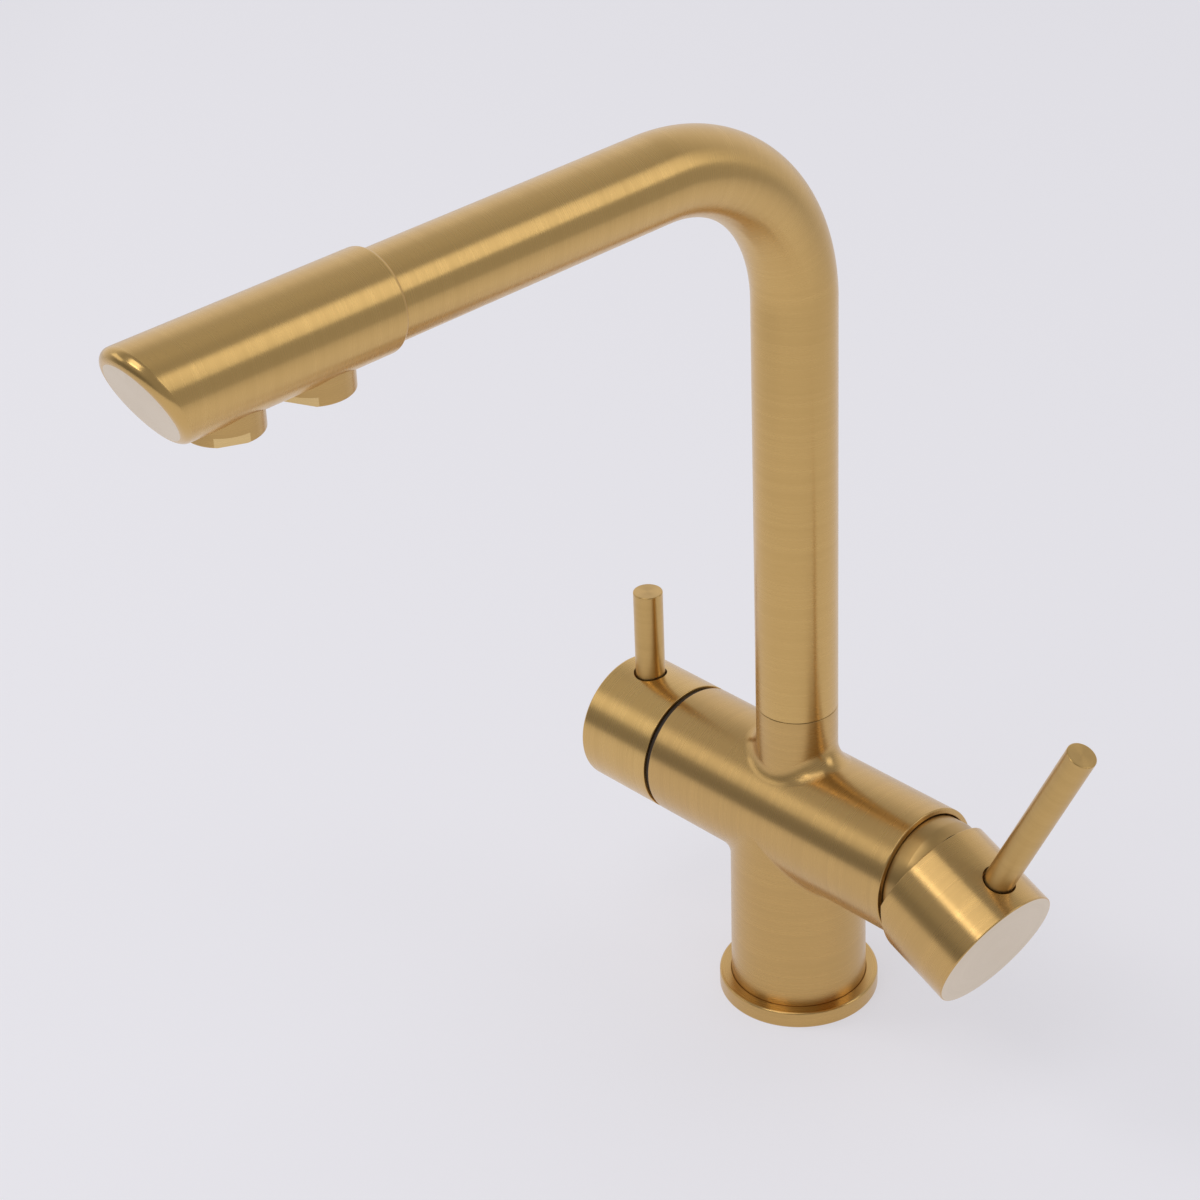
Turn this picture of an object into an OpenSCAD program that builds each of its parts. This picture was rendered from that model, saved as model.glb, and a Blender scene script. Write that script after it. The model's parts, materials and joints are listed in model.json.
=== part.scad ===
// Three way kitchen tap: hot, cold and filtered water.
// The origin is the centre of the base, on the underside of the flange. +Z is up,
// the spout points along -Y, the mixer handle is at +X and the filter knob at -X.
// Lengths are in millimetres, angles in degrees.

/* [Base and column] */
// Diameter of the upright column
column_d = 47.8; // [44:0.2:52]
// Diameter of the flange ring that stands on the worktop
flange_d = 56.2; // [54:0.2:64]
// Height of the flange ring
flange_h = 6.1; // [5:0.1:9]
// Thickness of the flange's lip under the column
flange_lip = 2; // [1.8:0.1:3]
// Diameter of the hollow under the column
recess_d = 39; // [38:0.5:40]
// Depth of the hollow, from the worktop
recess_depth = 14; // [10:0.5:20]

/* [Barrel and neck] */
// Height of the barrel's axis above the worktop
barrel_axis_h = 75.5; // [72:0.5:85]
// Diameter of the crosswise barrel
barrel_d = 47; // [45:0.2:50]
// Distance from the column's axis to the barrel's end at the filter knob
barrel_left = 50.3; // [49:0.1:56]
// Distance from the column's axis to the barrel's open rim at the mixer
barrel_right = 58.6; // [57.5:0.1:59.5]
// Wall of the open rim
rim_wall = 2; // [1.6:0.1:2.4]
// Height of the seam between neck and spout
neck_h = 117.8; // [116:0.2:126]
// Widening of the neck where it meets the barrel
neck_flare = 2; // [1:0.1:3]

/* [Mixer handle] */
// Distance from the column's axis to the pivot of the handle
pivot_out = 57.2; // [56.4:0.1:58.4]
// Distance from the pivot to the cap's open end
cap_start = 3.9; // [3:0.1:5]
// Length of the handle cap
cap_len = 33.1; // [30:0.1:38]
// Wall of the handle cap at its open end
cap_wall = 1.3; // [1.1:0.1:2]
// Distance from the pivot to the lever, along the cap
lever_out = 24.6; // [24:0.1:28]
// Reach of the lever from the cap's axis
lever_reach = 89.5; // [70:0.5:110]
// Diameter of the lever
lever_d = 10.4; // [9.6:0.1:11]
// Outward lean of the lever
lever_lean = 1.8; // [0:0.1:4]
// Tilt of the handle as it stands, from closed
handle_tilt = 23.1; // [0:0.1:24]
// Tilt of the handle when fully open
tilt_full = 25; // [25:1:26]
// Turn of the handle towards the back as it stands
handle_turn = 4.9; // [0:0.1:40]

/* [Filter knob] */
// Gap between barrel and knob
knob_gap = 2.1; // [1.8:0.1:2.6]
// Length of the knob
knob_len = 31.6; // [28:0.2:36]
// Distance from the knob's inner face to its lever
filter_lever_in = 19.5; // [18.5:0.1:21]
// Height of the lever's top above the barrel's axis
filter_lever_reach = 56.7; // [45:0.5:70]
// Diameter of the filter lever
filter_lever_d = 10.5; // [9.6:0.1:11]

/* [Spout] */
// Diameter of the spout tube and the neck
tube_d = 28; // [27.6:0.1:29]
// Wall of the spout tube
tube_wall = 1.2; // [1:0.1:1.5]
// Height of the arm's axis above the worktop
arm_h = 330.3; // [290:0.1:380]
// Radius of the bend, at the tube's axis
bend_r = 61; // [50:1:75]
// Distance from the column's axis to the head's rear edge
head_start = 169; // [150:1:220]
// Length of the head at its axis
head_len = 81.1; // [79:0.1:90]
// Diameter of the head
head_d = 31.8; // [31.4:0.1:33]
// Slope of the flat tip, from square
tip_slope = 26.6; // [20:0.2:29]

/* [Outlets] */
// Diameter of the outlets
outlet_d = 23.3; // [22:0.1:23.6]
// Distance from the head's rear edge to the rear outlet
rear_outlet = 22.7; // [22:0.1:24]
// Distance between the outlets
outlet_step = 31.9; // [30:0.1:33]
// Drop of the outlets' lower edges below the arm's axis
outlet_drop = 19.1; // [18:0.1:21]
// Turn of the front outlet's spanner flats
front_flat_turn = 24; // [0:1:90]
// Turn of the rear outlet's spanner flats
rear_flat_turn = 57; // [0:1:90]

/* [Mixer cartridge] */
// Diameter of the cartridge
cartridge_d = 35; // [34.6:0.1:35.2]
// Distance from the column's axis to the floor of the cartridge bore
cartridge_floor = 28; // [27:0.1:28.5]
// Thickness of the cartridge base
cartridge_base_t = 5.7; // [5.4:0.1:6]
// Thickness of the fixed ceramic disc
fixed_disc_t = 3.2; // [2.8:0.1:3.4]
// Thickness of the moving ceramic disc
moving_disc_t = 3.8; // [3.4:0.1:4]
// Thickness of the carrier on the moving disc
disc_carrier_t = 4.6; // [4.4:0.1:4.8]

/* [Filter valve] */
// Radius of the filter valve's bore
valve_bore_r = 13; // [12.8:0.1:13.4]
// Distance from the column's axis to the floor of that bore
valve_floor = 20; // [19.5:0.1:21]
// Distance from the column's axis to the valve's hexagon
valve_seat = 42; // [41:0.1:43]

/* [Hose ports] */
// Radius of the three hose ports, drilled for an M10 by 1 thread
port_r = 4.5; // [4.2:0.1:4.6]
// Length of the hose ports
port_len = 12; // [8:0.5:14]
// Radius of the stud hole, drilled for an M8 thread
stud_r = 3.4; // [3:0.1:3.6]
// Length of the stud hole
stud_len = 14; // [10:0.5:18]

/* [Fits] */
// Clearance on the radius of parts that turn in each other
run_gap = 0.08; // [0.04:0.01:0.1]
// Clearance on the radius of parts that are screwed or pushed together
fit_gap = 0.05; // [0.02:0.01:0.08]
// Gap between faces that slide on each other
slide_gap = 0.03; // [0.02:0.01:0.06]
// Gap between faces that only pass each other
pass_gap = 0.3; // [0.2:0.05:0.4]

/* [Hidden] */
$fn = 96;

// Finishes
brushed_gold = [0.72, 0.56, 0.29];
raw_brass = [0.78, 0.65, 0.36];
steel = [0.66, 0.67, 0.68];
ceramic = [0.9, 0.89, 0.86];
black_rubber = [0.08, 0.08, 0.08];
white_plastic = [0.88, 0.88, 0.86];
dark_plastic = [0.16, 0.12, 0.1];

// Shared sizes
overrun = 1;
edge_round = 0.8;
edge_break = 0.5;
barrel_r = barrel_d / 2;
tube_r = tube_d / 2;
column_r = column_d / 2;

// Body casting
column_run_in = 0.3;
column_top = barrel_axis_h - barrel_d / 16;
column_taper_start = barrel_axis_h - barrel_r - column_run_in;
neck_flare_h = 7;
rim_recess_depth = 4.6;
rim_shelf_x = barrel_right - rim_recess_depth;
rim_recess_r = barrel_r - rim_wall;
cartridge_side_gap = 0.5;
cartridge_bore_r = cartridge_d / 2 + cartridge_side_gap;
valve_counterbore_r = 17;

// Spout socket in the neck
socket_r = 11;
socket_depth = 21.8;
socket_floor = neck_h - socket_depth;
bearing_seat_depth = 1;
bearing_wall = 1.7;
bearing_proud = 0.15;
spout_foot = neck_h + bearing_proud;
lock_drop = 8.3;
lock_h = neck_h - lock_drop;
lock_r = 2;
lock_len = 3.8;

// Inner tube for the filtered water
water_tube_r = 4;
water_tube_wall = 1.25;
tube_seal_depth = 2;
tube_seal_wall = 1.6;

// Waterways in the casting
inlet_out = 11;
inlet_side = 9.5;
inlet_low = 5;
inlet_r = 3.2;
mixed_high = 9;
mixed_r = 3;
mixed_rise_out = 8.5;
mixed_rise_r = 2.4;
filter_port_out = 13;
filter_way_r = 2.8;
filter_way_low = 6;
filter_rise_r = 2.2;
filter_rise_high = valve_bore_r + filter_rise_r / 4;
filter_rise_end = 27;
filter_rise_z = barrel_axis_h + filter_rise_high;
water_bore_foot = filter_rise_z - filter_rise_r - pass_gap;
water_tube_foot = filter_rise_z + filter_rise_r + pass_gap;

// Flange and gasket
flange_lip_r = recess_d / 2 + overrun / 2;
gasket_groove_r = 22;
gasket_w = 3.5;
gasket_groove_depth = 1.5;
gasket_lift = 0.2;

// Collar and handle cap
collar_gap = 0.5;
collar_r = rim_recess_r - collar_gap;
collar_wall = 3.4;
dome_step = 1.2;
dome_r = collar_r + dome_step;
dome_end = 11.3;
cap_dome_gap = 0.7;
cap_hollow_r = dome_r + cap_dome_gap;
cap_r = cap_hollow_r + cap_wall;
cap_end = cap_start + cap_len;
cap_floor_gap = 1.3;
cap_floor = dome_end * cos(tilt_full) + sqrt(dome_r * dome_r - dome_end * dome_end)
    * sin(tilt_full) + cap_floor_gap;
cap_boss_r = 8.5;
cap_boss_len = 6.6;
cap_bevel_out = 3.5;
lever_r = lever_d / 2;
lever_hole_gap = 0.7;
lever_seat = 5;
lever_thread_r = 4;
lever_thread_len = 9;
grub_r = 2;
grub_len = 8;
grub_socket_r = 1.3;
grub_socket_depth = 2.5;
grub_out = 22.5;

// Mixer cartridge, as distances from the column's axis
seal_proud = 0.3;
base_x = cartridge_floor + seal_proud;
fixed_disc_x = base_x + cartridge_base_t;
moving_disc_x = fixed_disc_x + fixed_disc_t + slide_gap;
disc_carrier_x = moving_disc_x + moving_disc_t;
rotor_x = disc_carrier_x + disc_carrier_t + pass_gap;
rotor_flange_t = 2.1;
rotor_neck_x = rotor_x + rotor_flange_t;
housing_shoulder_t = 1.8;
shoulder_x = rotor_neck_x + 2 * slide_gap + housing_shoulder_t;
housing_x = fixed_disc_x;
housing_past_pivot = 2.8;
housing_end = pivot_out + housing_past_pivot;
rotor_past_pivot = 4.3;
rotor_end = pivot_out + rotor_past_pivot;
cartridge_r = cartridge_d / 2;
housing_wall = 1.9;
housing_neck_r = 13.5;
rotor_r = 11.4;
rotor_flange_r = 13.4;
rotor_slot_w = 8.2;
rotor_slot_h = 18.6;
fixed_disc_r = cartridge_r - housing_wall - fit_gap;
moving_disc_r = 10.5;
pin_r = 1.5;
pin_len = 21.6;
nut_t = rim_shelf_x - shoulder_x;
nut_hole_r = housing_neck_r + pass_gap;
// Places of the hot, cold and mixed ports on the cartridge, as [side, height]
port_places = [[-inlet_side, -inlet_low], [inlet_side, -inlet_low], [0, mixed_high]];
seal_r = 4.9;
seal_t = 1.6;
seal_w = 1.3;

// Stem of the cartridge, as distances from the pivot
stem_r = 3.8;
stem_end = 25;
shank_r = 1.6;
shank_start = 3;
ball_r = 2.2;
ball_gap = 0.4;
ball_reach = pivot_out - disc_carrier_x - ball_r - pass_gap;
ball_swing = ball_reach * sin(tilt_full);
ball_offset = ball_reach * sin(handle_tilt);
disc_offset = ball_offset - ball_swing / 2;

// Filter knob and valve, as distances from the column's axis
knob_x = barrel_left + knob_gap;
knob_end = knob_x + knob_len;
knob_hollow_depth = 12;
knob_wall = 3;
knob_hollow_r = barrel_r - knob_wall;
knob_hub_r = 8;
knob_hub_in = 1.6;
filter_lever_x = knob_x + filter_lever_in;
filter_lever_r = filter_lever_d / 2;
slip_ring_inset = 1.1;
slip_ring_r = barrel_r - slip_ring_inset;
slip_ring_w = 4.6;
slip_gap = 0.2;
washer_t = 0.6;
washer_w = 4.9;
valve_disc_t = 2.6;
valve_disc_r = 10;
valve_disc_hole_r = 2.6;
drive_t = 1.6;
spindle_r = 5;
spline_r = 3.9;
spline_len = 24;
spline_end = knob_x + spline_len;
valve_hex_r = 15.6;
valve_hex_t = 4;
valve_neck_r = 9;
clip_t = 0.8;
clip_r = 6.8;
clip_groove_r = 4.2;
valve_end_gap = 1.4;
valve_end = knob_x - valve_end_gap;
spindle_ring_in = 6;
spindle_x = valve_floor + washer_t + 2 * valve_disc_t + slide_gap;
o_ring_groove = 1.1;

// Spout, head and outlets
stem_top = 19;
stem_bore_r = 7.2;
stem_foot_gap = 1.8;
stem_ring_r = 0.72;
stem_ring_lower = 3.5;
stem_ring_upper = 7.5;
lock_groove_depth = 1.7;
head_r = head_d / 2;
head_wall = 2.6;
head_end_wall = 13.5;
head_tip = head_start + head_len;
tip_blunt = 3.2;
tip_blunt_slope = 58;
tube_end_gap = 0.4;
block_gap = 0.1;
outlet_r = outlet_d / 2;
head_grip = rear_outlet - outlet_r - pass_gap;
outlet_top = 8;
outlet_wall = 2.15;
outlet_lip = 0.8;
outlet_lip_w = 0.9;
outlet_flat = 10.3;
outlet_flat_h = 3;
outlet_washer_t = 2.4;
outlet_washer_w = 2.6;
aerator_hole_r = 0.8;
aerator_rings = 2;
aerator_ring_step = 3;
front_outlet_x = head_start + rear_outlet + outlet_step;
rear_outlet_x = head_start + rear_outlet;
head_ring_r = 0.5;
head_ring_in = 6;
mixed_way_high = 8.5;
mixed_way_r = 3.2;
block_drop_r = 3.6;

// Points along an arc, for turned outlines
function arc(cx, cy, r, from, to, steps = 12) =
    [for (i = [0:steps]) let (a = from + (to - from) * i / steps)
        [cx + r * cos(a), cy + r * sin(a)]];

// Lays a part out along the barrel, starting at x and pointing at the mixer handle
module towards_mixer(x) {
    translate([x, 0, barrel_axis_h]) rotate([0, 90, 0]) children();
}

// The same on the other side, pointing at the filter knob
module towards_filter(x) {
    translate([-x, 0, barrel_axis_h]) rotate([0, -90, 0]) children();
}

// Lays a part out along the spout's arm, starting at the distance y in front of the column
module along_arm(y) {
    translate([0, -y, arm_h]) rotate([90, 0, 0]) children();
}

// Frame of the cartridge's turning parts: origin at the pivot, +X outwards, +Z at the lever
module turned_frame() {
    translate([pivot_out, 0, barrel_axis_h]) rotate([-handle_turn, 0, 0]) children();
}

// Frame of the handle: the same, tilted as the handle stands
module handle_frame() {
    turned_frame() rotate([0, handle_tilt, 0]) children();
}

// A ring of rubber with a round section
module o_ring(ring_r, section_r) {
    rotate_extrude() translate([ring_r, 0]) circle(r = section_r, $fn = 24);
}

// A plain ring
module ring(outer_r, inner_r, t) {
    difference() {
        cylinder(r = outer_r, h = t);
        translate([0, 0, -overrun]) cylinder(r = inner_r, h = t + 2 * overrun);
    }
}

// A rod with a small chamfer at its top
module rod(r, h) {
    cylinder(r = r, h = h - edge_break);
    translate([0, 0, h - edge_break]) cylinder(r1 = r, r2 = r - edge_break, h = edge_break);
}

// A grub screw with its socket at the outer end, standing on its point
module grub_screw(len) {
    difference() {
        cylinder(r = grub_r, h = len);
        translate([0, 0, len - grub_socket_depth])
            cylinder(r = grub_socket_r, h = grub_socket_depth + overrun, $fn = 6);
    }
}

// Outer form of the column, barrel and neck
module casting_form() {
    barrel_top = barrel_axis_h + barrel_r;
    rotate_extrude() polygon([
        [0, flange_lip], [column_r, flange_lip], [column_r, column_taper_start],
        [barrel_r - column_run_in, column_top], [0, column_top],
    ]);
    towards_filter(barrel_left) mirror([0, 0, 1])
        cylinder(r = barrel_r, h = barrel_left + barrel_right);
    rotate_extrude() polygon([
        [0, barrel_axis_h], [tube_r + neck_flare, barrel_axis_h],
        [tube_r + neck_flare, barrel_top], [tube_r + neck_flare / 4, barrel_top + neck_flare_h / 3],
        [tube_r, barrel_top + neck_flare_h], [tube_r, neck_h], [0, neck_h],
    ]);
}

// Waterways that join the ports to the cartridge, the filter valve and the spout
module waterways() {
    port_top = recess_depth + port_len;
    for (side = [-1, 1]) {
        translate([inlet_out, side * inlet_side, 0])
            cylinder(r = port_r, h = port_top);
        translate([inlet_out, side * inlet_side, 0])
            cylinder(r = inlet_r, h = barrel_axis_h - inlet_low);
        translate([0, side * inlet_side, -inlet_low]) towards_mixer(inlet_out)
            cylinder(r = inlet_r, h = cartridge_floor - inlet_out + overrun);
    }
    cylinder(r = stud_r, h = recess_depth + stud_len);
    translate([-filter_port_out, 0, 0]) cylinder(r = port_r, h = port_top);
    translate([-filter_port_out, 0, 0])
        cylinder(r = filter_way_r, h = barrel_axis_h - filter_way_low);
    translate([0, 0, -filter_way_low]) towards_filter(filter_port_out)
        cylinder(r = filter_way_r, h = valve_floor - filter_port_out + overrun);
    translate([0, 0, filter_rise_high]) towards_filter(0)
        cylinder(r = filter_rise_r, h = filter_rise_end);
    translate([0, 0, mixed_high]) towards_mixer(mixed_rise_out)
        cylinder(r = mixed_r, h = cartridge_floor - mixed_rise_out + overrun);
    translate([mixed_rise_out, 0, barrel_axis_h + mixed_high])
        cylinder(r = mixed_rise_r, h = socket_floor - barrel_axis_h - mixed_high + overrun);
    translate([0, 0, water_bore_foot])
        cylinder(r = water_tube_r + run_gap, h = socket_floor - water_bore_foot + overrun);
    translate([0, 0, socket_floor - tube_seal_depth])
        cylinder(r = water_tube_r + tube_seal_wall, h = tube_seal_depth + overrun);
}

module body_casting() {
    color(brushed_gold) difference() {
        casting_form();
        translate([0, 0, -overrun]) cylinder(d = recess_d, h = recess_depth + overrun);
        towards_mixer(cartridge_floor)
            cylinder(r = cartridge_bore_r, h = barrel_right - cartridge_floor + overrun);
        towards_mixer(rim_shelf_x)
            cylinder(r = rim_recess_r, h = rim_recess_depth + overrun);
        towards_filter(valve_floor)
            cylinder(r = valve_bore_r, h = barrel_left - valve_floor + overrun);
        towards_filter(valve_seat)
            cylinder(r = valve_counterbore_r, h = barrel_left - valve_seat + overrun);
        translate([0, 0, socket_floor]) cylinder(r = socket_r, h = socket_depth + overrun);
        translate([0, 0, neck_h - bearing_seat_depth])
            cylinder(r = socket_r + bearing_wall + fit_gap, h = bearing_seat_depth + overrun);
        translate([0, 0, lock_h]) rotate([-90, 0, 0])
            cylinder(r = lock_r + fit_gap, h = tube_r + overrun);
        waterways();
    }
}

module base_flange() {
    bore_r = column_r + fit_gap;
    color(brushed_gold) difference() {
        rotate_extrude() polygon(concat(
            [[flange_lip_r, 0], [flange_d / 2 - edge_round / 2, 0], [flange_d / 2, edge_round / 2]],
            arc(flange_d / 2 - edge_round, flange_h - edge_round, edge_round, 0, 90),
            [[bore_r, flange_h], [bore_r, flange_lip], [flange_lip_r, flange_lip]]
        ));
        translate([0, 0, -overrun])
            ring(gasket_groove_r + gasket_w, gasket_groove_r, gasket_groove_depth + overrun);
    }
}

module base_gasket() {
    color(black_rubber) translate([0, 0, gasket_lift])
        ring(gasket_groove_r + gasket_w - fit_gap, gasket_groove_r + fit_gap,
            gasket_groove_depth - gasket_lift);
}

module mixer_collar() {
    shelf = rim_shelf_x - pivot_out;
    dome_from = acos(collar_r / dome_r);
    dome_to = asin(dome_end / dome_r);
    color(brushed_gold) towards_mixer(pivot_out) rotate_extrude() polygon(concat(
        [[collar_r - collar_wall, shelf], [collar_r, shelf]],
        arc(0, 0, dome_r, dome_from, dome_to),
        [[collar_r - collar_wall, dome_end]]
    ));
}

module cartridge_nut() {
    color(raw_brass) towards_mixer(shoulder_x) difference() {
        ring(cartridge_bore_r - fit_gap, nut_hole_r, nut_t);
        for (a = [0:90:359]) rotate([0, 0, a])
            translate([nut_hole_r - overrun, -stem_r / 2, nut_t / 2])
                cube([stem_r, stem_r, nut_t]);
    }
}

module cartridge_housing() {
    color(white_plastic) towards_mixer(housing_x) difference() {
        union() {
            cylinder(r = cartridge_r, h = shoulder_x - housing_x);
            cylinder(r = housing_neck_r, h = housing_end - housing_x);
        }
        translate([0, 0, -overrun]) cylinder(r = cartridge_r - housing_wall,
            h = shoulder_x - housing_shoulder_t - housing_x + overrun);
        cylinder(r = rotor_r + run_gap, h = housing_end - housing_x + overrun);
    }
}

// Puts a child at each of the cartridge's three ports, at the distance x
module at_ports(x) {
    for (p = port_places) translate([0, p[0], p[1]]) towards_mixer(x) children();
}

module cartridge_base() {
    color(white_plastic) difference() {
        towards_mixer(base_x) cylinder(r = cartridge_r, h = cartridge_base_t);
        at_ports(base_x - overrun) cylinder(r = mixed_r, h = cartridge_base_t + 2 * overrun);
        at_ports(base_x - overrun)
            cylinder(r = seal_r + fit_gap, h = seal_t - seal_proud + overrun);
    }
}

module cartridge_port_seals() {
    color(black_rubber) at_ports(cartridge_floor) ring(seal_r, seal_r - seal_w, seal_t);
}

module fixed_mixer_disc() {
    color(ceramic) difference() {
        towards_mixer(fixed_disc_x) cylinder(r = fixed_disc_r, h = fixed_disc_t);
        at_ports(fixed_disc_x - overrun) cylinder(r = mixed_r, h = fixed_disc_t + 2 * overrun);
    }
}

module cartridge_rotor() {
    start = rotor_x - pivot_out;
    color(white_plastic) turned_frame() difference() {
        rotate([0, 90, 0]) union() {
            translate([0, 0, start]) cylinder(r = rotor_flange_r, h = rotor_flange_t);
            translate([0, 0, start]) cylinder(r = rotor_r, h = rotor_end - rotor_x);
        }
        translate([start - overrun, -rotor_slot_w / 2, -rotor_slot_h / 2])
            cube([rotor_end - rotor_x + 2 * overrun, rotor_slot_w, rotor_slot_h]);
        rotate([90, 0, 0]) cylinder(r = pin_r + fit_gap, h = 2 * rotor_r, center = true);
    }
}

module cartridge_pivot_pin() {
    color(steel) turned_frame() rotate([90, 0, 0])
        cylinder(r = pin_r, h = pin_len, center = true);
}

module moving_mixer_disc() {
    color(ceramic) turned_frame() translate([moving_disc_x - pivot_out, 0, disc_offset])
        rotate([0, 90, 0]) difference() {
            cylinder(r = moving_disc_r, h = moving_disc_t);
            translate([0, 0, -overrun])
                cylinder(r = moving_disc_r - mixed_r, h = moving_disc_t / 2 + overrun);
        }
}

module disc_carrier() {
    color(white_plastic) turned_frame()
        translate([disc_carrier_x - pivot_out, 0, 0]) difference() {
            translate([0, 0, disc_offset]) rotate([0, 90, 0])
                cylinder(r = moving_disc_r, h = disc_carrier_t);
            translate([-overrun, 0, ball_offset]) rotate([0, 90, 0])
                cylinder(r = ball_r + ball_gap, h = disc_carrier_t + 2 * overrun);
        }
}

module cartridge_stem() {
    color(steel) handle_frame() difference() {
        rotate([0, 90, 0]) union() {
            translate([0, 0, -shank_start]) cylinder(r = stem_r, h = stem_end + shank_start);
            translate([0, 0, -ball_reach]) cylinder(r = shank_r, h = ball_reach);
            translate([0, 0, -ball_reach]) sphere(r = ball_r);
        }
        rotate([90, 0, 0]) cylinder(r = pin_r + run_gap, h = 3 * stem_r, center = true);
    }
}

// Frame of the lever: origin on the cap's axis, +Z along the lever
module lever_frame() {
    handle_frame() translate([lever_out, 0, 0]) rotate([0, lever_lean, 0]) children();
}

module handle_cap() {
    seat = cap_r - lever_seat;
    boss_start = cap_floor - cap_boss_len;
    color(brushed_gold) difference() {
        handle_frame() difference() {
            rotate([0, 90, 0]) rotate_extrude() polygon(concat(
                [[0, boss_start], [cap_boss_r, boss_start], [cap_boss_r, cap_floor]],
                arc(0, 0, cap_hollow_r, asin(cap_floor / cap_hollow_r),
                    asin(cap_start / cap_hollow_r)),
                [[cap_r, cap_start], [cap_r, cap_end - edge_break],
                [cap_r - edge_break, cap_end], [0, cap_end]]
            ));
            rotate([0, -tilt_full, 0])
                translate([cap_bevel_out - 2 * cap_r, -2 * cap_r, -2 * cap_r])
                cube([2 * cap_r, 4 * cap_r, 4 * cap_r]);
            rotate([0, 90, 0]) cylinder(r = stem_r + fit_gap, h = stem_end + overrun);
            translate([grub_out, 0, 0]) rotate([180, 0, 0])
                cylinder(r = grub_r + fit_gap, h = cap_r + overrun);
        }
        lever_frame() translate([0, 0, seat])
            cylinder(r = lever_r + lever_hole_gap, h = lever_seat + lever_d);
        lever_frame() translate([0, 0, seat - lever_thread_len])
            cylinder(r = lever_thread_r, h = lever_thread_len + overrun);
    }
}

module handle_lever() {
    seat = cap_r - lever_seat;
    color(brushed_gold) lever_frame() {
        translate([0, 0, seat]) rod(lever_r, lever_reach - seat);
        translate([0, 0, seat - lever_thread_len + pass_gap])
            cylinder(r = lever_thread_r - fit_gap, h = lever_thread_len);
    }
}

module handle_grub_screw() {
    color(steel) handle_frame() translate([grub_out, 0, 0]) rotate([180, 0, 0])
        translate([0, 0, stem_r + fit_gap]) grub_screw(grub_len);
}

module filter_slip_ring() {
    color(dark_plastic) towards_filter(barrel_left)
        ring(slip_ring_r, slip_ring_r - slip_ring_w, knob_gap - slip_gap);
}

module filter_valve_body() {
    start = valve_floor + washer_t;
    cavity_end = start + 2 * valve_disc_t + slide_gap + drive_t + pass_gap;
    color(raw_brass) difference() {
        union() {
            towards_filter(start) cylinder(r = valve_bore_r - fit_gap, h = valve_seat - start);
            towards_filter(valve_seat) cylinder(r = valve_hex_r, h = valve_hex_t, $fn = 6);
            towards_filter(valve_seat) cylinder(r = valve_neck_r, h = valve_end - valve_seat);
        }
        towards_filter(start - overrun)
            cylinder(r = valve_disc_r + run_gap, h = cavity_end - start + overrun);
        towards_filter(start) cylinder(r = spindle_r + run_gap, h = valve_end - start + overrun);
        translate([-start - 2 * valve_disc_t + filter_rise_r / 2, 0, barrel_axis_h])
            cylinder(r = filter_rise_r, h = 3 * valve_bore_r, center = true);
    }
}

module filter_valve_washer() {
    color(black_rubber) towards_filter(valve_floor)
        ring(valve_bore_r - fit_gap, valve_bore_r - washer_w, washer_t);
}

// One disc of the filter valve, with the two holes that line up when the valve is open
module valve_disc(turn) {
    difference() {
        cylinder(r = valve_disc_r, h = valve_disc_t);
        for (side = [0, 180]) rotate([0, 0, turn + side])
            translate([filter_way_low, 0, -overrun])
                cylinder(r = valve_disc_hole_r, h = valve_disc_t + 2 * overrun);
    }
}

module filter_fixed_disc() {
    color(ceramic) towards_filter(valve_floor + washer_t) valve_disc(0);
}

module filter_moving_disc() {
    color(ceramic) towards_filter(valve_floor + washer_t + valve_disc_t + slide_gap)
        valve_disc(90);
}

module filter_spindle() {
    shaft_end = valve_end + clip_t + edge_round;
    groove_x = spindle_x + spindle_ring_in;
    color(raw_brass) difference() {
        union() {
            towards_filter(spindle_x) cylinder(r = valve_disc_r - fit_gap, h = drive_t);
            towards_filter(spindle_x) cylinder(r = spindle_r, h = shaft_end - spindle_x);
            towards_filter(spindle_x) cylinder(r = spline_r, h = spline_end - spindle_x);
        }
        towards_filter(groove_x)
            ring(spindle_r + overrun, spindle_r - o_ring_groove, 2 * o_ring_groove);
        towards_filter(valve_end + fit_gap)
            ring(spindle_r + overrun, clip_groove_r, clip_t + fit_gap);
    }
}

module filter_spindle_o_ring() {
    section_r = o_ring_groove / 2;
    color(black_rubber) towards_filter(spindle_x + spindle_ring_in + o_ring_groove)
        o_ring(spindle_r - o_ring_groove + section_r, section_r);
}

module filter_spindle_clip() {
    color(steel) towards_filter(valve_end + fit_gap) difference() {
        ring(clip_r, clip_groove_r, clip_t);
        translate([0, -clip_groove_r / 2, -overrun])
            cube([2 * clip_r, clip_groove_r, clip_t + 2 * overrun]);
    }
}

module filter_knob() {
    seat = barrel_r - lever_seat;
    color(brushed_gold) difference() {
        towards_filter(knob_x) rotate_extrude() polygon([
            [0, knob_hub_in], [knob_hub_r, knob_hub_in], [knob_hub_r, knob_hollow_depth],
            [knob_hollow_r, knob_hollow_depth], [knob_hollow_r, 0], [barrel_r, 0],
            [barrel_r, knob_len - edge_round], [barrel_r - edge_round, knob_len], [0, knob_len],
        ]);
        towards_filter(knob_x) cylinder(r = spline_r + fit_gap, h = spline_end - knob_x + overrun);
        translate([-filter_lever_x, 0, barrel_axis_h + seat])
            cylinder(r = filter_lever_r + lever_hole_gap, h = lever_seat + overrun);
        translate([-filter_lever_x, 0, barrel_axis_h + seat - lever_thread_len])
            cylinder(r = lever_thread_r, h = lever_thread_len + overrun);
        translate([-filter_lever_x, 0, barrel_axis_h]) rotate([180, 0, 0])
            cylinder(r = grub_r + fit_gap, h = barrel_r + overrun);
    }
}

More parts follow.
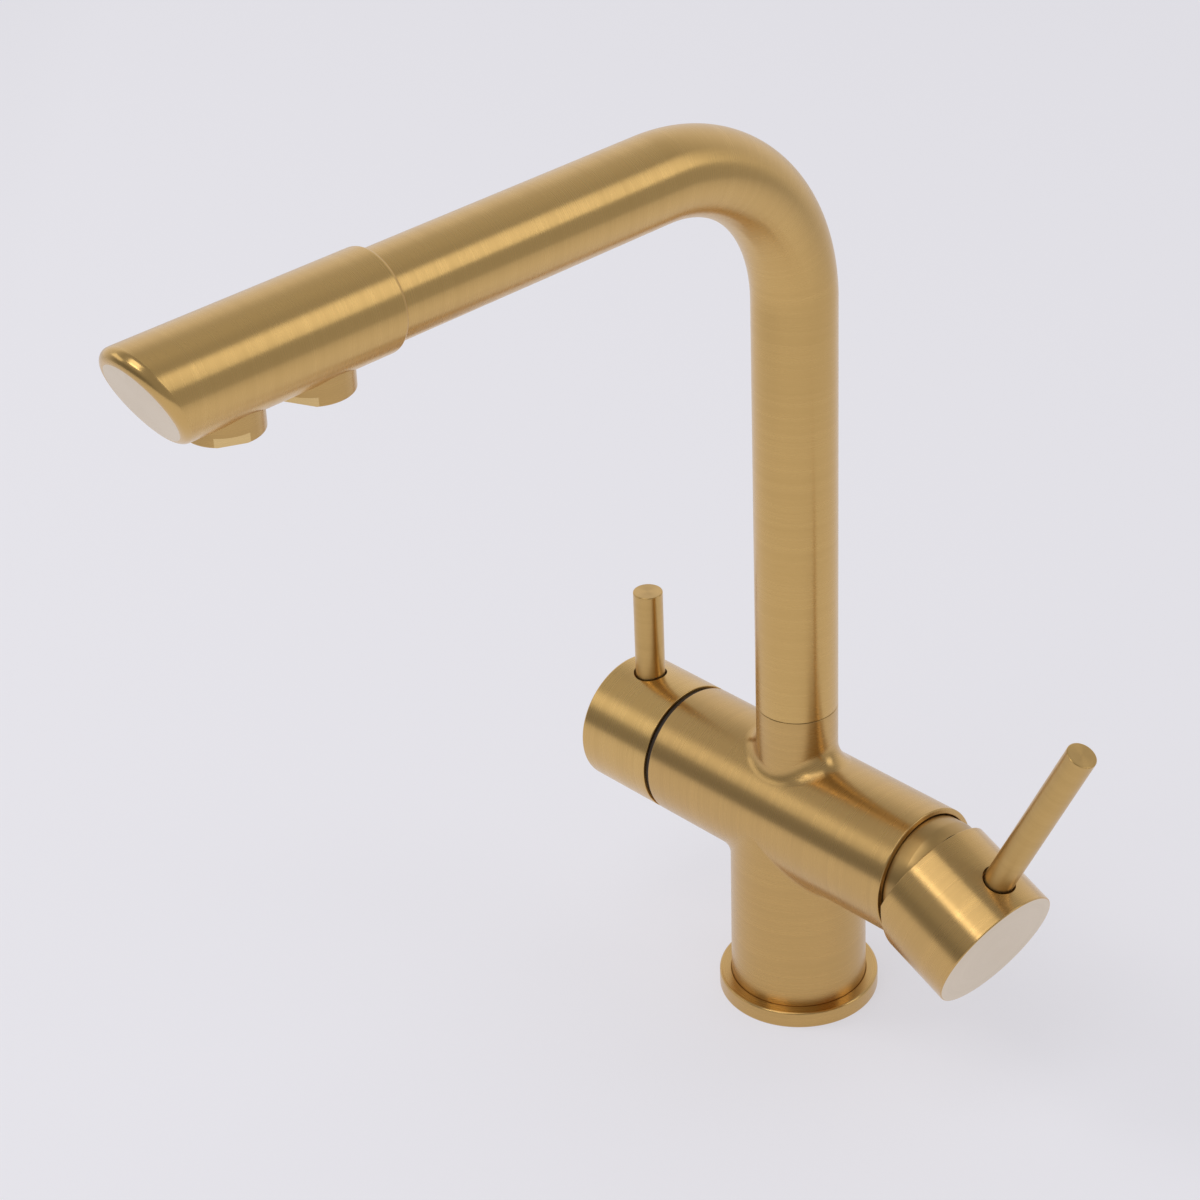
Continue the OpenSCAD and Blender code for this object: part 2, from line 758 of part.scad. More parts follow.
module filter_lever() {
    seat = barrel_r - lever_seat;
    color(brushed_gold) translate([-filter_lever_x, 0, barrel_axis_h]) {
        translate([0, 0, seat]) rod(filter_lever_r, filter_lever_reach - seat);
        translate([0, 0, seat - lever_thread_len + pass_gap])
            cylinder(r = lever_thread_r - fit_gap, h = lever_thread_len);
    }
}

module filter_knob_grub_screw() {
    color(steel) translate([-filter_lever_x, 0, barrel_axis_h]) rotate([180, 0, 0])
        translate([0, 0, spline_r + fit_gap]) grub_screw(grub_len);
}

module spout_bearing_ring() {
    color(white_plastic) translate([0, 0, neck_h - bearing_seat_depth])
        ring(socket_r + bearing_wall, socket_r, bearing_seat_depth + bearing_proud);
}

module spout_lock_screw() {
    tip = socket_r - lock_groove_depth + pass_gap;
    color(steel) translate([0, tip, lock_h]) rotate([-90, 0, 0]) difference() {
        cylinder(r = lock_r, h = lock_len);
        translate([0, 0, lock_len - grub_socket_depth / 2])
            cylinder(r = grub_socket_r, h = grub_socket_depth, $fn = 6);
    }
}

module spout_stem() {
    foot = socket_floor + stem_foot_gap;
    lower_r = socket_r - run_gap;
    color(raw_brass) difference() {
        union() {
            translate([0, 0, foot]) cylinder(r = lower_r, h = spout_foot - foot);
            translate([0, 0, spout_foot]) cylinder(r = tube_r - tube_wall - fit_gap, h = stem_top);
        }
        translate([0, 0, foot - overrun])
            cylinder(r = stem_bore_r, h = spout_foot + stem_top - foot + 2 * overrun);
        for (up = [stem_ring_lower, stem_ring_upper])
            translate([0, 0, socket_floor + up - 1.5 * stem_ring_r])
                ring(socket_r + overrun, lower_r - 2 * stem_ring_r, 3 * stem_ring_r);
        translate([0, 0, lock_h - lock_r - pass_gap])
            ring(socket_r + overrun, lower_r - lock_groove_depth, 2 * (lock_r + pass_gap));
    }
}

// A seal of the spout's stem, at a height above the socket's floor
module stem_o_ring(up) {
    color(black_rubber) translate([0, 0, socket_floor + up])
        o_ring(socket_r - run_gap - stem_ring_r, stem_ring_r);
}

module stem_o_ring_lower() {
    stem_o_ring(stem_ring_lower);
}

module stem_o_ring_upper() {
    stem_o_ring(stem_ring_upper);
}

// Solid run of a bent tube: up the column's axis, round the bend and along the arm
module bent_run(r, from_h, to_y) {
    translate([0, 0, from_h]) cylinder(r = r, h = arm_h - bend_r - from_h);
    translate([0, -bend_r, arm_h - bend_r]) rotate([90, 0, 90])
        rotate_extrude(angle = 90) translate([bend_r, 0]) circle(r = r);
    along_arm(bend_r) cylinder(r = r, h = to_y - bend_r);
}

module spout_tube() {
    tube_end = head_start + head_grip - tube_end_gap;
    color(brushed_gold) difference() {
        bent_run(tube_r, spout_foot, tube_end);
        bent_run(tube_r - tube_wall, spout_foot - overrun, tube_end + overrun);
    }
}

module filter_water_tube() {
    tube_end = rear_outlet_x - overrun;
    color(white_plastic) difference() {
        bent_run(water_tube_r, water_tube_foot, tube_end);
        bent_run(water_tube_r - water_tube_wall, water_tube_foot - overrun, tube_end + overrun);
    }
}

module water_tube_o_ring() {
    section_r = (tube_seal_wall - fit_gap) / 2;
    color(black_rubber) translate([0, 0, socket_floor - tube_seal_depth + section_r])
        o_ring(water_tube_r + tube_seal_wall - section_r, section_r);
}

// Vertical holes or plugs at both outlets, from the height low to the height high
module at_outlets() {
    for (y = [rear_outlet_x, front_outlet_x]) translate([0, -y, arm_h]) children();
}

module spout_head() {
    reach = head_len + head_r;
    chamber = head_tip - head_end_wall - head_start - head_grip;
    color(brushed_gold) difference() {
        along_arm(head_start) rotate_extrude() polygon(concat(
            [[0, 0], [head_r - 2 * edge_round, 0]],
            arc(head_r - 2 * edge_round, 2 * edge_round, 2 * edge_round, -90, 0),
            [[head_r, reach], [0, reach]]
        ));
        translate([0, -head_tip, arm_h]) rotate([tip_slope, 0, 0])
            translate([-head_d, -2 * head_d, -2 * head_d]) cube([2 * head_d, 2 * head_d, 4 * head_d]);
        translate([0, -head_tip - head_r * tan(tip_slope) + tip_blunt, arm_h + head_r])
            rotate([-tip_blunt_slope, 0, 0])
            translate([-head_d, -2 * head_d, -2 * head_d]) cube([2 * head_d, 2 * head_d, 4 * head_d]);
        along_arm(head_start - overrun) cylinder(r = tube_r + fit_gap, h = head_grip + overrun);
        along_arm(head_start + head_ring_in)
            cylinder(r = tube_r + 2 * head_ring_r + fit_gap, h = 3 * head_ring_r);
        along_arm(head_start + head_grip - overrun)
            cylinder(r = head_r - head_wall, h = chamber + overrun);
        at_outlets() translate([0, 0, -head_d])
            cylinder(r = outlet_r + fit_gap, h = head_d - outlet_top);
    }
}

module head_o_ring() {
    color(black_rubber) along_arm(head_start + head_ring_in + 1.5 * head_ring_r)
        o_ring(tube_r + head_ring_r + fit_gap / 2, head_ring_r);
}

module head_water_block() {
    start = head_start + head_grip + block_gap;
    end = head_tip - head_end_wall - block_gap;
    color(white_plastic) difference() {
        along_arm(start) cylinder(r = head_r - head_wall - block_gap, h = end - start);
        at_outlets() translate([0, 0, -head_d])
            cylinder(r = outlet_r + fit_gap, h = head_d - outlet_top + block_gap);
        along_arm(start - overrun)
            cylinder(r = water_tube_r + fit_gap, h = rear_outlet_x - start + overrun);
        translate([0, -rear_outlet_x, arm_h - outlet_top]) cylinder(r = block_drop_r, h = outlet_top);
        translate([0, 0, mixed_way_high]) along_arm(start - overrun)
            cylinder(r = mixed_way_r, h = front_outlet_x - start + overrun);
        translate([0, -front_outlet_x, arm_h - outlet_top])
            cylinder(r = block_drop_r, h = outlet_top + mixed_way_high);
    }
}

// An outlet's housing, with two spanner flats at its lower edge
module outlet(y, flat_turn) {
    height = outlet_drop - outlet_top;
    color(brushed_gold) translate([0, -y, arm_h - outlet_drop]) difference() {
        rotate_extrude() polygon([
            [outlet_r - outlet_wall - outlet_lip_w, 0], [outlet_r - edge_break, 0],
            [outlet_r, edge_break], [outlet_r, height], [outlet_r - outlet_wall, height],
            [outlet_r - outlet_wall, outlet_lip], [outlet_r - outlet_wall - outlet_lip_w, outlet_lip],
        ]);
        for (side = [0, 180]) rotate([0, 0, side - flat_turn])
            translate([outlet_flat, -outlet_r, -overrun])
                cube([outlet_r, outlet_d, outlet_flat_h + overrun]);
    }
}

module mixed_outlet() {
    outlet(front_outlet_x, front_flat_turn);
}

module filter_outlet() {
    outlet(rear_outlet_x, rear_flat_turn);
}

// The insert that mixes air into the water, with rings of small holes
module aerator(y) {
    r = outlet_r - outlet_wall - fit_gap;
    height = outlet_drop - outlet_top - outlet_lip - outlet_washer_t;
    color(white_plastic) translate([0, -y, arm_h - outlet_drop + outlet_lip]) difference() {
        cylinder(r = r, h = height);
        translate([0, 0, -overrun]) cylinder(r = aerator_hole_r, h = height + 2 * overrun);
        for (k = [1:aerator_rings]) for (i = [1:6 * k]) rotate([0, 0, 60 * i / k])
            translate([k * aerator_ring_step, 0, -overrun])
                cylinder(r = aerator_hole_r, h = height + 2 * overrun);
    }
}

module mixed_aerator() {
    aerator(front_outlet_x);
}

module filter_aerator() {
    aerator(rear_outlet_x);
}

// The rubber washer on top of an outlet's insert
module outlet_washer(y) {
    r = outlet_r - outlet_wall - fit_gap;
    color(black_rubber) translate([0, -y, arm_h - outlet_top - outlet_washer_t])
        ring(r, r - outlet_washer_w, outlet_washer_t);
}

module mixed_outlet_washer() {
    outlet_washer(front_outlet_x);
}

module filter_outlet_washer() {
    outlet_washer(rear_outlet_x);
}

body_casting();
base_flange();
base_gasket();
mixer_collar();
cartridge_nut();
cartridge_housing();
cartridge_base();
cartridge_port_seals();
fixed_mixer_disc();
cartridge_rotor();
cartridge_pivot_pin();
moving_mixer_disc();
disc_carrier();
cartridge_stem();
handle_cap();
handle_lever();
handle_grub_screw();
filter_slip_ring();
filter_valve_body();
filter_valve_washer();
filter_fixed_disc();
filter_moving_disc();
filter_spindle();
filter_spindle_o_ring();
filter_spindle_clip();
filter_knob();
filter_lever();
filter_knob_grub_screw();
spout_bearing_ring();
spout_lock_screw();
spout_stem();
stem_o_ring_lower();
stem_o_ring_upper();
spout_tube();
filter_water_tube();
water_tube_o_ring();
spout_head();
head_o_ring();
head_water_block();
mixed_outlet();
filter_outlet();
mixed_aerator();
filter_aerator();
mixed_outlet_washer();
filter_outlet_washer();
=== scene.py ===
"""Dresses the three way filtered water tap: brushed gold pieces on the fixed frame, and its studio."""

import json
import math

import bmesh
import bpy
from mathutils import Matrix, Vector

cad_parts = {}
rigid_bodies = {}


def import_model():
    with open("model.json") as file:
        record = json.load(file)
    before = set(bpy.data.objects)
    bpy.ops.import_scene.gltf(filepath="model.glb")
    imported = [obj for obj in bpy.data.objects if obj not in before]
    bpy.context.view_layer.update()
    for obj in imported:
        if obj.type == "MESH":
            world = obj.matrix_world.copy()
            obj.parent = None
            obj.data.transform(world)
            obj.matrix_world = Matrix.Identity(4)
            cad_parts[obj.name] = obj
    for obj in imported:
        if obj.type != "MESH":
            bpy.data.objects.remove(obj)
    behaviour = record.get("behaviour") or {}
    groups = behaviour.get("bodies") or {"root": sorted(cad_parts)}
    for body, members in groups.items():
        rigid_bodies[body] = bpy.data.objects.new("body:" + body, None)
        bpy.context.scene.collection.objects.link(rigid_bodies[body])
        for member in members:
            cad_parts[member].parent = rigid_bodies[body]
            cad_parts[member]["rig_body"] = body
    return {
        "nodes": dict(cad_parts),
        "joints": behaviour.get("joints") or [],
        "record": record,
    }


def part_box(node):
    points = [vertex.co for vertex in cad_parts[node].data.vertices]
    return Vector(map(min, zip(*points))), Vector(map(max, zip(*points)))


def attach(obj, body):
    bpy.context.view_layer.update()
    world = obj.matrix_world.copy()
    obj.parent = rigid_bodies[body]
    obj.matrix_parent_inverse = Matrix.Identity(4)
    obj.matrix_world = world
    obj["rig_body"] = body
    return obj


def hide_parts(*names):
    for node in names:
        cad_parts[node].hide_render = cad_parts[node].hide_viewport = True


bl_info = {
    "name": "Three Way Filtered Water Tap",
    "version": (1, 0, 0),
    "blender": (4, 5, 0),
    "location": "View3D > Sidebar > Water Tap",
    "description": "Models the tap's brushed gold pieces around its frame and lights them",
    "category": "Object",
}

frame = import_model()
NODES = frame["nodes"]
JOINTS = {joint["name"]: joint for joint in frame["joints"]}

MM = 0.001
TURN = 2 * math.pi
QUARTER = math.pi / 2
WELD = 0.002 * MM
HOLD = 0.2 * MM
HOLD_PARTS = 4
ARC_ROOM = 1.3
AROUND = 192
ARC_STEPS = 8
BRUSH_MAP = "brushed"
BRUSH_LINES = 9000
SHARP_ANGLE = math.radians(28)


def low(node):
    """Lowest corner of a CAD node."""
    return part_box(node)[0]


def high(node):
    """Highest corner of a CAD node."""
    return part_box(node)[1]


BARREL_AXIS = JOINTS["filter_turn"]["pos_m"][2]
TILT = JOINTS["mixer_tilt"]
HANDLE_PIVOT = Vector(TILT["pos_m"])
HANDLE_TILT = -math.radians(TILT["range_deg"][0])
HANDLE_TURN = math.atan2(TILT["axis"][2], TILT["axis"][1])
TILT_FULL = HANDLE_TILT + math.radians(TILT["range_deg"][1])
NECK_TOP = high("body_casting").z
BARREL_RIGHT = high("body_casting").x
BARREL_LEFT = -low("body_casting").x
BARREL_R = high("filter_knob").y
COLUMN_R = high("body_casting").y
COLUMN_FOOT = low("body_casting").z
FLANGE_R = high("base_flange").x
FLANGE_TOP = high("base_flange").z
TUBE_R = high("spout_tube").x
ARM_AXIS = high("spout_tube").z - TUBE_R
HEAD_R = high("spout_head").x
HEAD_START = -high("spout_head").y
OUTLET_R = (high("mixed_outlet").x - low("mixed_outlet").x) / 2
RIM_FLOOR = BARREL_RIGHT - 4.6 * MM
TAPER_END = 60 * MM
VALVE_R = 13 * MM
VALVE_FLOOR = 20 * MM
SCREW_R = 2.05 * MM
HOLE_STEPS = 48
TIP_FALL = 0.5
ROW_GAP = 0.1 * MM
TAP_MIDDLE = Vector((0, -0.08, 0.16))

UP = Matrix.Identity(4)
TO_MIXER = Matrix.Translation((0, 0, BARREL_AXIS)) @ Matrix.Rotation(QUARTER, 4, "Y")
TO_FILTER = Matrix.Translation((0, 0, BARREL_AXIS)) @ Matrix.Rotation(-QUARTER, 4, "Y")
ALONG_ARM = Matrix.Translation((0, 0, ARM_AXIS)) @ Matrix.Rotation(QUARTER, 4, "X")
IN_HANDLE = (
    Matrix.Translation(HANDLE_PIVOT)
    @ Matrix.Rotation(HANDLE_TURN, 4, "X")
    @ Matrix.Rotation(HANDLE_TILT, 4, "Y")
)
HANDLE_OUT = IN_HANDLE @ Matrix.Rotation(QUARTER, 4, "Y")


def length(name, description, default):
    """A size in metres that the user can change."""
    return bpy.props.FloatProperty(
        name=name, description=description, default=default, min=0, unit="LENGTH", precision=5
    )


def share(name, description, default):
    """A share from none to all."""
    return bpy.props.FloatProperty(
        name=name, description=description, default=default, min=0, max=1, subtype="FACTOR"
    )


def colour(name, description, default):
    """A colour of the finish or the studio."""
    return bpy.props.FloatVectorProperty(
        name=name, description=description, default=default, size=3, min=0, max=1, subtype="COLOR"
    )


class TapSizes(bpy.types.PropertyGroup):
    """Sizes of the edges and blends that dress the frame."""

    neck_blend: length("Neck blend", "Radius of the blend under the spout's neck", 6.5 * MM)
    column_blend: length("Column blend", "Radius of the blend under the barrel", 4.5 * MM)
    column_taper: length("Column taper", "How much thinner the column is at the barrel", 0.45 * MM)
    edge: length("Edge", "Radius of the turned edges", 0.5 * MM)
    seam: length("Seam", "Chamfer that shows where two turned pieces meet", 0.14 * MM)
    head_blend: length("Head blend", "Radius around the slanted tip of the spout's head", 3 * MM)
    lever_gap: length("Lever gap", "Ring of clearance around each lever", 0.7 * MM)
    tip_plane: length("Tip plane", "Where the slanted tip crosses the arm's axis", 250.1 * MM)
    bend: length("Bend", "Radius of the spout's bend at the tube's middle", 61 * MM)
    tube_wall: length("Tube wall", "Thickness of the spout's tube", 1.2 * MM)


class TapFinish(bpy.types.PropertyGroup):
    """Colours and finishes of the tap."""

    gold: colour("Gold", "Colour of the brushed gold coating", (0.72, 0.47, 0.17))
    gold_deep: colour("Deep gold", "Colour down in the brush lines", (0.60, 0.38, 0.122))
    gold_body: colour("Body gold", "Colour of the body's deeper gold", (0.663, 0.42, 0.147))
    # The face gold's pale colour is a painted reflection of the pale floor, seen at a grazing angle on
    # the flat end faces; their softer, less stretched highlights come from their brushing.
    gold_face_reflection: colour("Gold face", "Colour of the faces that are brushed flat", (0.79, 0.67, 0.50))
    # The flats' colour is partly a painted highlight, brighter than the gold around it so the flats
    # show; their less stretched highlights are the real milled finish.
    gold_flat_highlight: colour("Gold flats", "Colour of the outlets' milled flats", (0.82, 0.58, 0.25))
    brass: colour("Brass", "Colour of the bare brass inside", (0.68, 0.47, 0.20))
    steel: colour("Steel", "Colour of the screws and pins", (0.52, 0.53, 0.55))
    ceramic: colour("Ceramic", "Colour of the ceramic discs", (0.80, 0.78, 0.73))
    white: colour("White plastic", "Colour of the cartridge and aerators", (0.74, 0.74, 0.71))
    rubber: colour("Rubber", "Colour of the seals", (0.025, 0.025, 0.027))
    dark: colour("Dark plastic", "Colour of the slip ring", (0.035, 0.022, 0.014))
    rough: share("Roughness", "How soft the gold's highlights are", 0.28)
    stretch: share("Stretch", "How far the brushing stretches the highlights", 0.8)
    lacquer: share("Lacquer", "How much clear coating lies over the gold", 0.38)
    lines: bpy.props.FloatProperty(
        name="Brush lines", description="Brush lines in a metre across them", default=BRUSH_LINES, min=0
    )


class TapStudio(bpy.types.PropertyGroup):
    """The floor, the light and the camera."""

    floor: colour("Floor", "Colour of the pale floor", (0.76, 0.753, 0.797))
    glow: share("Floor glow", "Share of the floor's brightness that shadows don't reach", 0.68)
    paper: share("Paper", "How much light the floor gives back, beside its colour", 0.44)
    floor_width: length("Floor width", "Width of the paper, seen from the camera", 2400 * MM)
    floor_run: length("Floor run", "Length of the paper, from the camera's side to the back", 5000 * MM)
    floor_back: length("Floor back", "How far the paper's middle lies behind the tap", 1000 * MM)
    room: share("Room", "Brightness of the room around the paper", 0.37)
    room_right: share("Room, right", "How much brighter the room is low on the right", 0.05)
    room_front: share("Room, front", "How much darker the room is low in front", 0.15)
    sweep: share("Sweep", "Brightness of the pale backdrop behind the tap", 0.86)
    camera_place: bpy.props.FloatVectorProperty(
        name="Camera", description="Where the camera stands", size=3, unit="LENGTH",
        default=(658.17 * MM, -689.77 * MM, 733.11 * MM),
    )
    camera_turn: bpy.props.FloatVectorProperty(
        name="Aim", description="The camera's yaw, pitch and roll", size=3, unit="ROTATION",
        default=(math.radians(47.59), math.radians(31.01), math.radians(-2.40)),
    )
    focal: bpy.props.FloatProperty(name="Lens", description="Focal length in mm", default=100)


def held_edge(side, taken):
    """Length of the held edge beside an arc, on a side that arcs take a part of."""
    return min(HOLD, max(0.0, side.length - taken) / HOLD_PARTS)


def rounded(corners, closed):
    """Points of a profile given as (radius, height, rounding), with a held edge beside each arc."""
    points = []
    last = len(corners) - 1
    for i, (r, z, rounding) in enumerate(corners):
        here = Vector((r, z))
        if rounding <= 0 or (not closed and i in (0, last)):
            points.append(here)
            continue
        previous = corners[i - 1]
        following = corners[(i + 1) % len(corners)]
        before = Vector(previous[:2]) - here
        after = Vector(following[:2]) - here
        half = before.angle(after) / 2
        reach = rounding / math.tan(half)
        inward = (before.normalized() + after.normalized()).normalized()
        centre = here + inward * rounding / math.sin(half)
        start = here + before.normalized() * reach
        end = here + after.normalized() * reach
        held = held_edge(before, reach + ARC_ROOM * previous[2])
        points.append(start + before.normalized() * held)
        first = (start - centre).normalized()
        final = (end - centre).normalized()
        for k in range(ARC_STEPS + 1):
            points.append(centre + first.slerp(final, k / ARC_STEPS) * rounding)
        held = held_edge(after, reach + ARC_ROOM * following[2])
        points.append(end + after.normalized() * held)
    return points


def arc(radius, start, end, steps):
    """Corners on an arc about the profile's origin, angles from the outward direction."""
    angles = [start + (end - start) * i / steps for i in range(steps + 1)]
    return [(radius * math.cos(a), radius * math.sin(a), 0) for a in angles]


def brush(bm):
    """Maps a turned shape about its local axis: u runs across the brush lines and v along them."""
    bm.normal_update()
    layer = bm.loops.layers.uv.new(BRUSH_MAP)
    for face in bm.faces:
        middle = face.calc_center_median()
        out = Vector((middle.x, middle.y, 0))
        radial = face.normal.dot(out.normalized()) if out.length > WELD else 0
        start = math.atan2(middle.y, middle.x)
        for loop in face.loops:
            co = loop.vert.co
            r = math.hypot(co.x, co.y)
            angle = math.atan2(co.y, co.x) if r > WELD else start
            angle += TURN * round((start - angle) / TURN)
            loop[layer].uv = (co.z * radial - r * face.normal.z, angle / TURN)


def spun(profile, closed=False, steps=AROUND):
    """A profile of points spun about the local axis."""
    bm = bmesh.new()
    verts = [bm.verts.new((point.x, 0, point.y)) for point in profile]
    edges = [bm.edges.new(pair) for pair in zip(verts, verts[1:])]
    if closed:
        edges.append(bm.edges.new((verts[-1], verts[0])))
    bmesh.ops.spin(
        bm, geom=verts + edges, cent=(0, 0, 0), axis=(0, 0, 1), dvec=(0, 0, 0), angle=TURN,
        steps=steps, use_merge=True, use_duplicate=False,
    )
    bmesh.ops.remove_doubles(bm, verts=bm.verts, dist=WELD)
    return bm


def settled(bm, place):
    """Turns a shape's faces outward, maps its brush lines and puts it in its place."""
    bmesh.ops.recalc_face_normals(bm, faces=bm.faces)
    brush(bm)
    bm.transform(place)
    return bm


def turned(corners, place, closed=False, steps=AROUND):
    """A turned solid: its rounded profile spun about the local axis, then put in its place."""
    return settled(spun(rounded(corners, closed), closed, steps), place)


def rod(radius, start, end, place, steps=AROUND):
    """A plain turned rod between two heights of a local axis."""
    corners = [(0, start, 0), (radius, start, 0), (radius, end, 0), (0, end, 0)]
    return turned(corners, place, steps=steps)


def block(low_corner, high_corner, place):
    """A box between two local corners, used to cut flats."""
    bm = bmesh.new()
    bmesh.ops.create_cube(bm, size=1)
    size = [b - a for a, b in zip(low_corner, high_corner)]
    middle = [(a + b) / 2 for a, b in zip(low_corner, high_corner)]
    bm.transform(place @ Matrix.Translation(middle) @ Matrix.Diagonal((*size, 1)))
    brush(bm)
    return bm


def as_object(bm, name):
    """Puts a bmesh into an object at the origin."""
    mesh = bpy.data.meshes.new(name)
    bm.to_mesh(mesh)
    bm.free()
    piece = bpy.data.objects.new(name, mesh)
    bpy.context.scene.collection.objects.link(piece)
    return piece


def forget(piece):
    """Removes a helper object and its mesh."""
    mesh = piece.data
    bpy.data.objects.remove(piece)
    bpy.data.meshes.remove(mesh)


def carve(piece, cutters):
    """Cuts the cutters out of a piece for good."""
    tools = [as_object(cutter, "cutter") for cutter in cutters]
    for tool in tools:
        cut = piece.modifiers.new("cut", "BOOLEAN")
        cut.operation = "DIFFERENCE"
        cut.solver = "EXACT"
        cut.object = tool
    bpy.context.view_layer.update()
    shaped = piece.evaluated_get(bpy.context.evaluated_depsgraph_get())
    mesh = bpy.data.meshes.new_from_object(shaped)
    piece.modifiers.clear()
    uncut = piece.data
    piece.data = mesh
    bpy.data.meshes.remove(uncut)
    for tool in tools:
        forget(tool)
    if not mesh.polygons:
        raise RuntimeError(f"{piece.name}: nothing is left after the cut")
    return piece


def joined(name, parts):
    """One object from several closed shells."""
    bm = bmesh.new()
    for part in parts:
        bm.from_mesh(part.data)
        forget(part)
    return as_object(bm, name)


def dress(piece, node, finish):
    """Finishes a piece's shading, gives it a material and lets it stand for its CAD node."""
    mesh = piece.data
    mesh.materials.clear()
    mesh.materials.append(finish)
    mesh.shade_smooth()
    mesh.set_sharp_from_angle(angle=SHARP_ANGLE)
    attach(piece, NODES[node]["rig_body"])
    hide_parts(node)


def paint_faces(piece, finish, chosen):
    """Gives a second material to the faces that a test picks."""
    piece.data.materials.append(finish)
    found = [face for face in piece.data.polygons if chosen(face)]
    if not found:
        raise RuntimeError(f"{piece.name}: no face to paint")
    for face in found:
        face.material_index = len(piece.data.materials) - 1


def feed(tree, value, socket):
    """Links another node's value to an input, or sets the input to a number, vector or colour."""
    if isinstance(value, bpy.types.NodeSocket):
        tree.links.new(value, socket)
    else:
        socket.default_value = (*value, 1) if socket.type == "RGBA" else value


def maths(tree, operation, *values):
    """A Math node on values or sockets."""
    node = tree.nodes.new("ShaderNodeMath")
    node.operation = operation
    for socket, value in zip(node.inputs, values):
        feed(tree, value, socket)
    return node.outputs[0]


def vector_maths(tree, operation, first, second=None):
    """A Vector Math node; its second value is a vector, or a number to scale by."""
    node = tree.nodes.new("ShaderNodeVectorMath")
    node.operation = operation
    feed(tree, first, node.inputs[0])
    if second is not None:
        feed(tree, second, node.inputs["Scale" if operation == "SCALE" else 1])
    return node.outputs["Value" if operation in ("DOT_PRODUCT", "LENGTH") else "Vector"]


def noise(tree, vector, scale, detail, rough=0.5):
    """A noise value along a vector."""
    node = tree.nodes.new("ShaderNodeTexNoise")
    feed(tree, vector, node.inputs["Vector"])
    feed(tree, scale, node.inputs["Scale"])
    node.inputs["Detail"].default_value = detail
    node.inputs["Roughness"].default_value = rough
    return node.outputs[0]


def stretch_range(tree, value, low_value, high_value, to_low=0.0, to_high=1.0):
    """A value carried from one range to another, and held inside it."""
    node = tree.nodes.new("ShaderNodeMapRange")
    for socket, number in zip(node.inputs, (value, low_value, high_value, to_low, to_high)):
        feed(tree, number, socket)
    return node.outputs[0]


def blend_colours(tree, factor, first, second):
    """A mix of two colours, each from a node or given as three numbers."""
    node = tree.nodes.new("ShaderNodeMix")
    node.data_type = "RGBA"
    for label, value in (("Factor", factor), ("A", first), ("B", second)):
        feed(tree, value, node.inputs[label])
    return node.outputs["Result"]


def object_place(tree):
    """The place of a shading point in its object's own frame."""
    return tree.nodes.new("ShaderNodeTexCoord").outputs["Object"]


def camera_ray(tree):
    """One where the camera looks straight at a surface, nought for every other ray."""
    return tree.nodes.new("ShaderNodeLightPath").outputs["Is Camera Ray"]


def new_group(name, inputs, outputs):
    """An empty shader group with named numbers, and its input and output nodes."""
    group = bpy.data.node_groups.new(name, "ShaderNodeTree")
    for label, value in inputs.items():
        socket = group.interface.new_socket(label, in_out="INPUT", socket_type="NodeSocketFloat")
        socket.default_value = value
    for label in outputs:
        group.interface.new_socket(label, in_out="OUTPUT", socket_type="NodeSocketFloat")
    return group, group.nodes.new("NodeGroupInput"), group.nodes.new("NodeGroupOutput")


def brushed_lines_group():
    """Fine lines left by the brushing, a few longer scratches, bands and slow clouds among them."""
    group, inside, out = new_group(
        "BrushedLines", {"Lines": BRUSH_LINES, "Run": 5.0}, ("Line", "Cloud", "Scratch", "Band")
    )
    uv = group.nodes.new("ShaderNodeUVMap")
    uv.uv_map = BRUSH_MAP
    across = group.nodes.new("ShaderNodeSeparateXYZ")
    group.links.new(uv.outputs[0], across.inputs[0])
    step = maths(group, "MULTIPLY", across.outputs[0], inside.outputs["Lines"])
    place = object_place(group)
    run = vector_maths(group, "SCALE", place, inside.outputs["Run"])
    line_rough = 0.55
    for label, spacing, detail in (("Line", 1.0, 3.0), ("Scratch", 0.16, 1.0), ("Band", 0.035, 1.0)):
        side = group.nodes.new("ShaderNodeCombineXYZ")
        group.links.new(maths(group, "MULTIPLY", step, spacing), side.inputs[2])
        both = vector_maths(group, "ADD", run, side.outputs[0])
        group.links.new(noise(group, both, 1.0, detail, line_rough), out.inputs[label])
    cloud_scale = 55.0
    group.links.new(noise(group, place, cloud_scale, 3.0), out.inputs["Cloud"])
    return group


def mottle_group():
    """Slow unevenness and fine grain for moulded, turned and fired surfaces."""
    group, inside, out = new_group("Mottle", {"Scale": 300.0}, ("Grain", "Patch"))
    place = object_place(group)
    for label, spacing, detail in (("Grain", 1.0, 4.0), ("Patch", 0.12, 2.0)):
        scale = maths(group, "MULTIPLY", inside.outputs["Scale"], spacing)
        group.links.new(noise(group, place, scale, detail), out.inputs[label])
    return group


def group_node(tree, name, build):
    """Places a shared group in a material, and builds it the first time."""
    node = tree.nodes.new("ShaderNodeGroup")
    node.node_tree = bpy.data.node_groups.get(name) or build()
    return node


def new_material(name):
    """A material with its node tree and its shader."""
    material = bpy.data.materials.new(name)
    material.use_nodes = True
    return material, material.node_tree, material.node_tree.nodes["Principled BSDF"]


def add_bump(tree, shader, height, strength, distance):
    """Lets a height tip the shader's normal."""
    bump = tree.nodes.new("ShaderNodeBump")
    bump.inputs["Strength"].default_value = strength
    bump.inputs["Distance"].default_value = distance
    tree.links.new(height, bump.inputs["Height"])
    tree.links.new(bump.outputs[0], shader.inputs["Normal"])


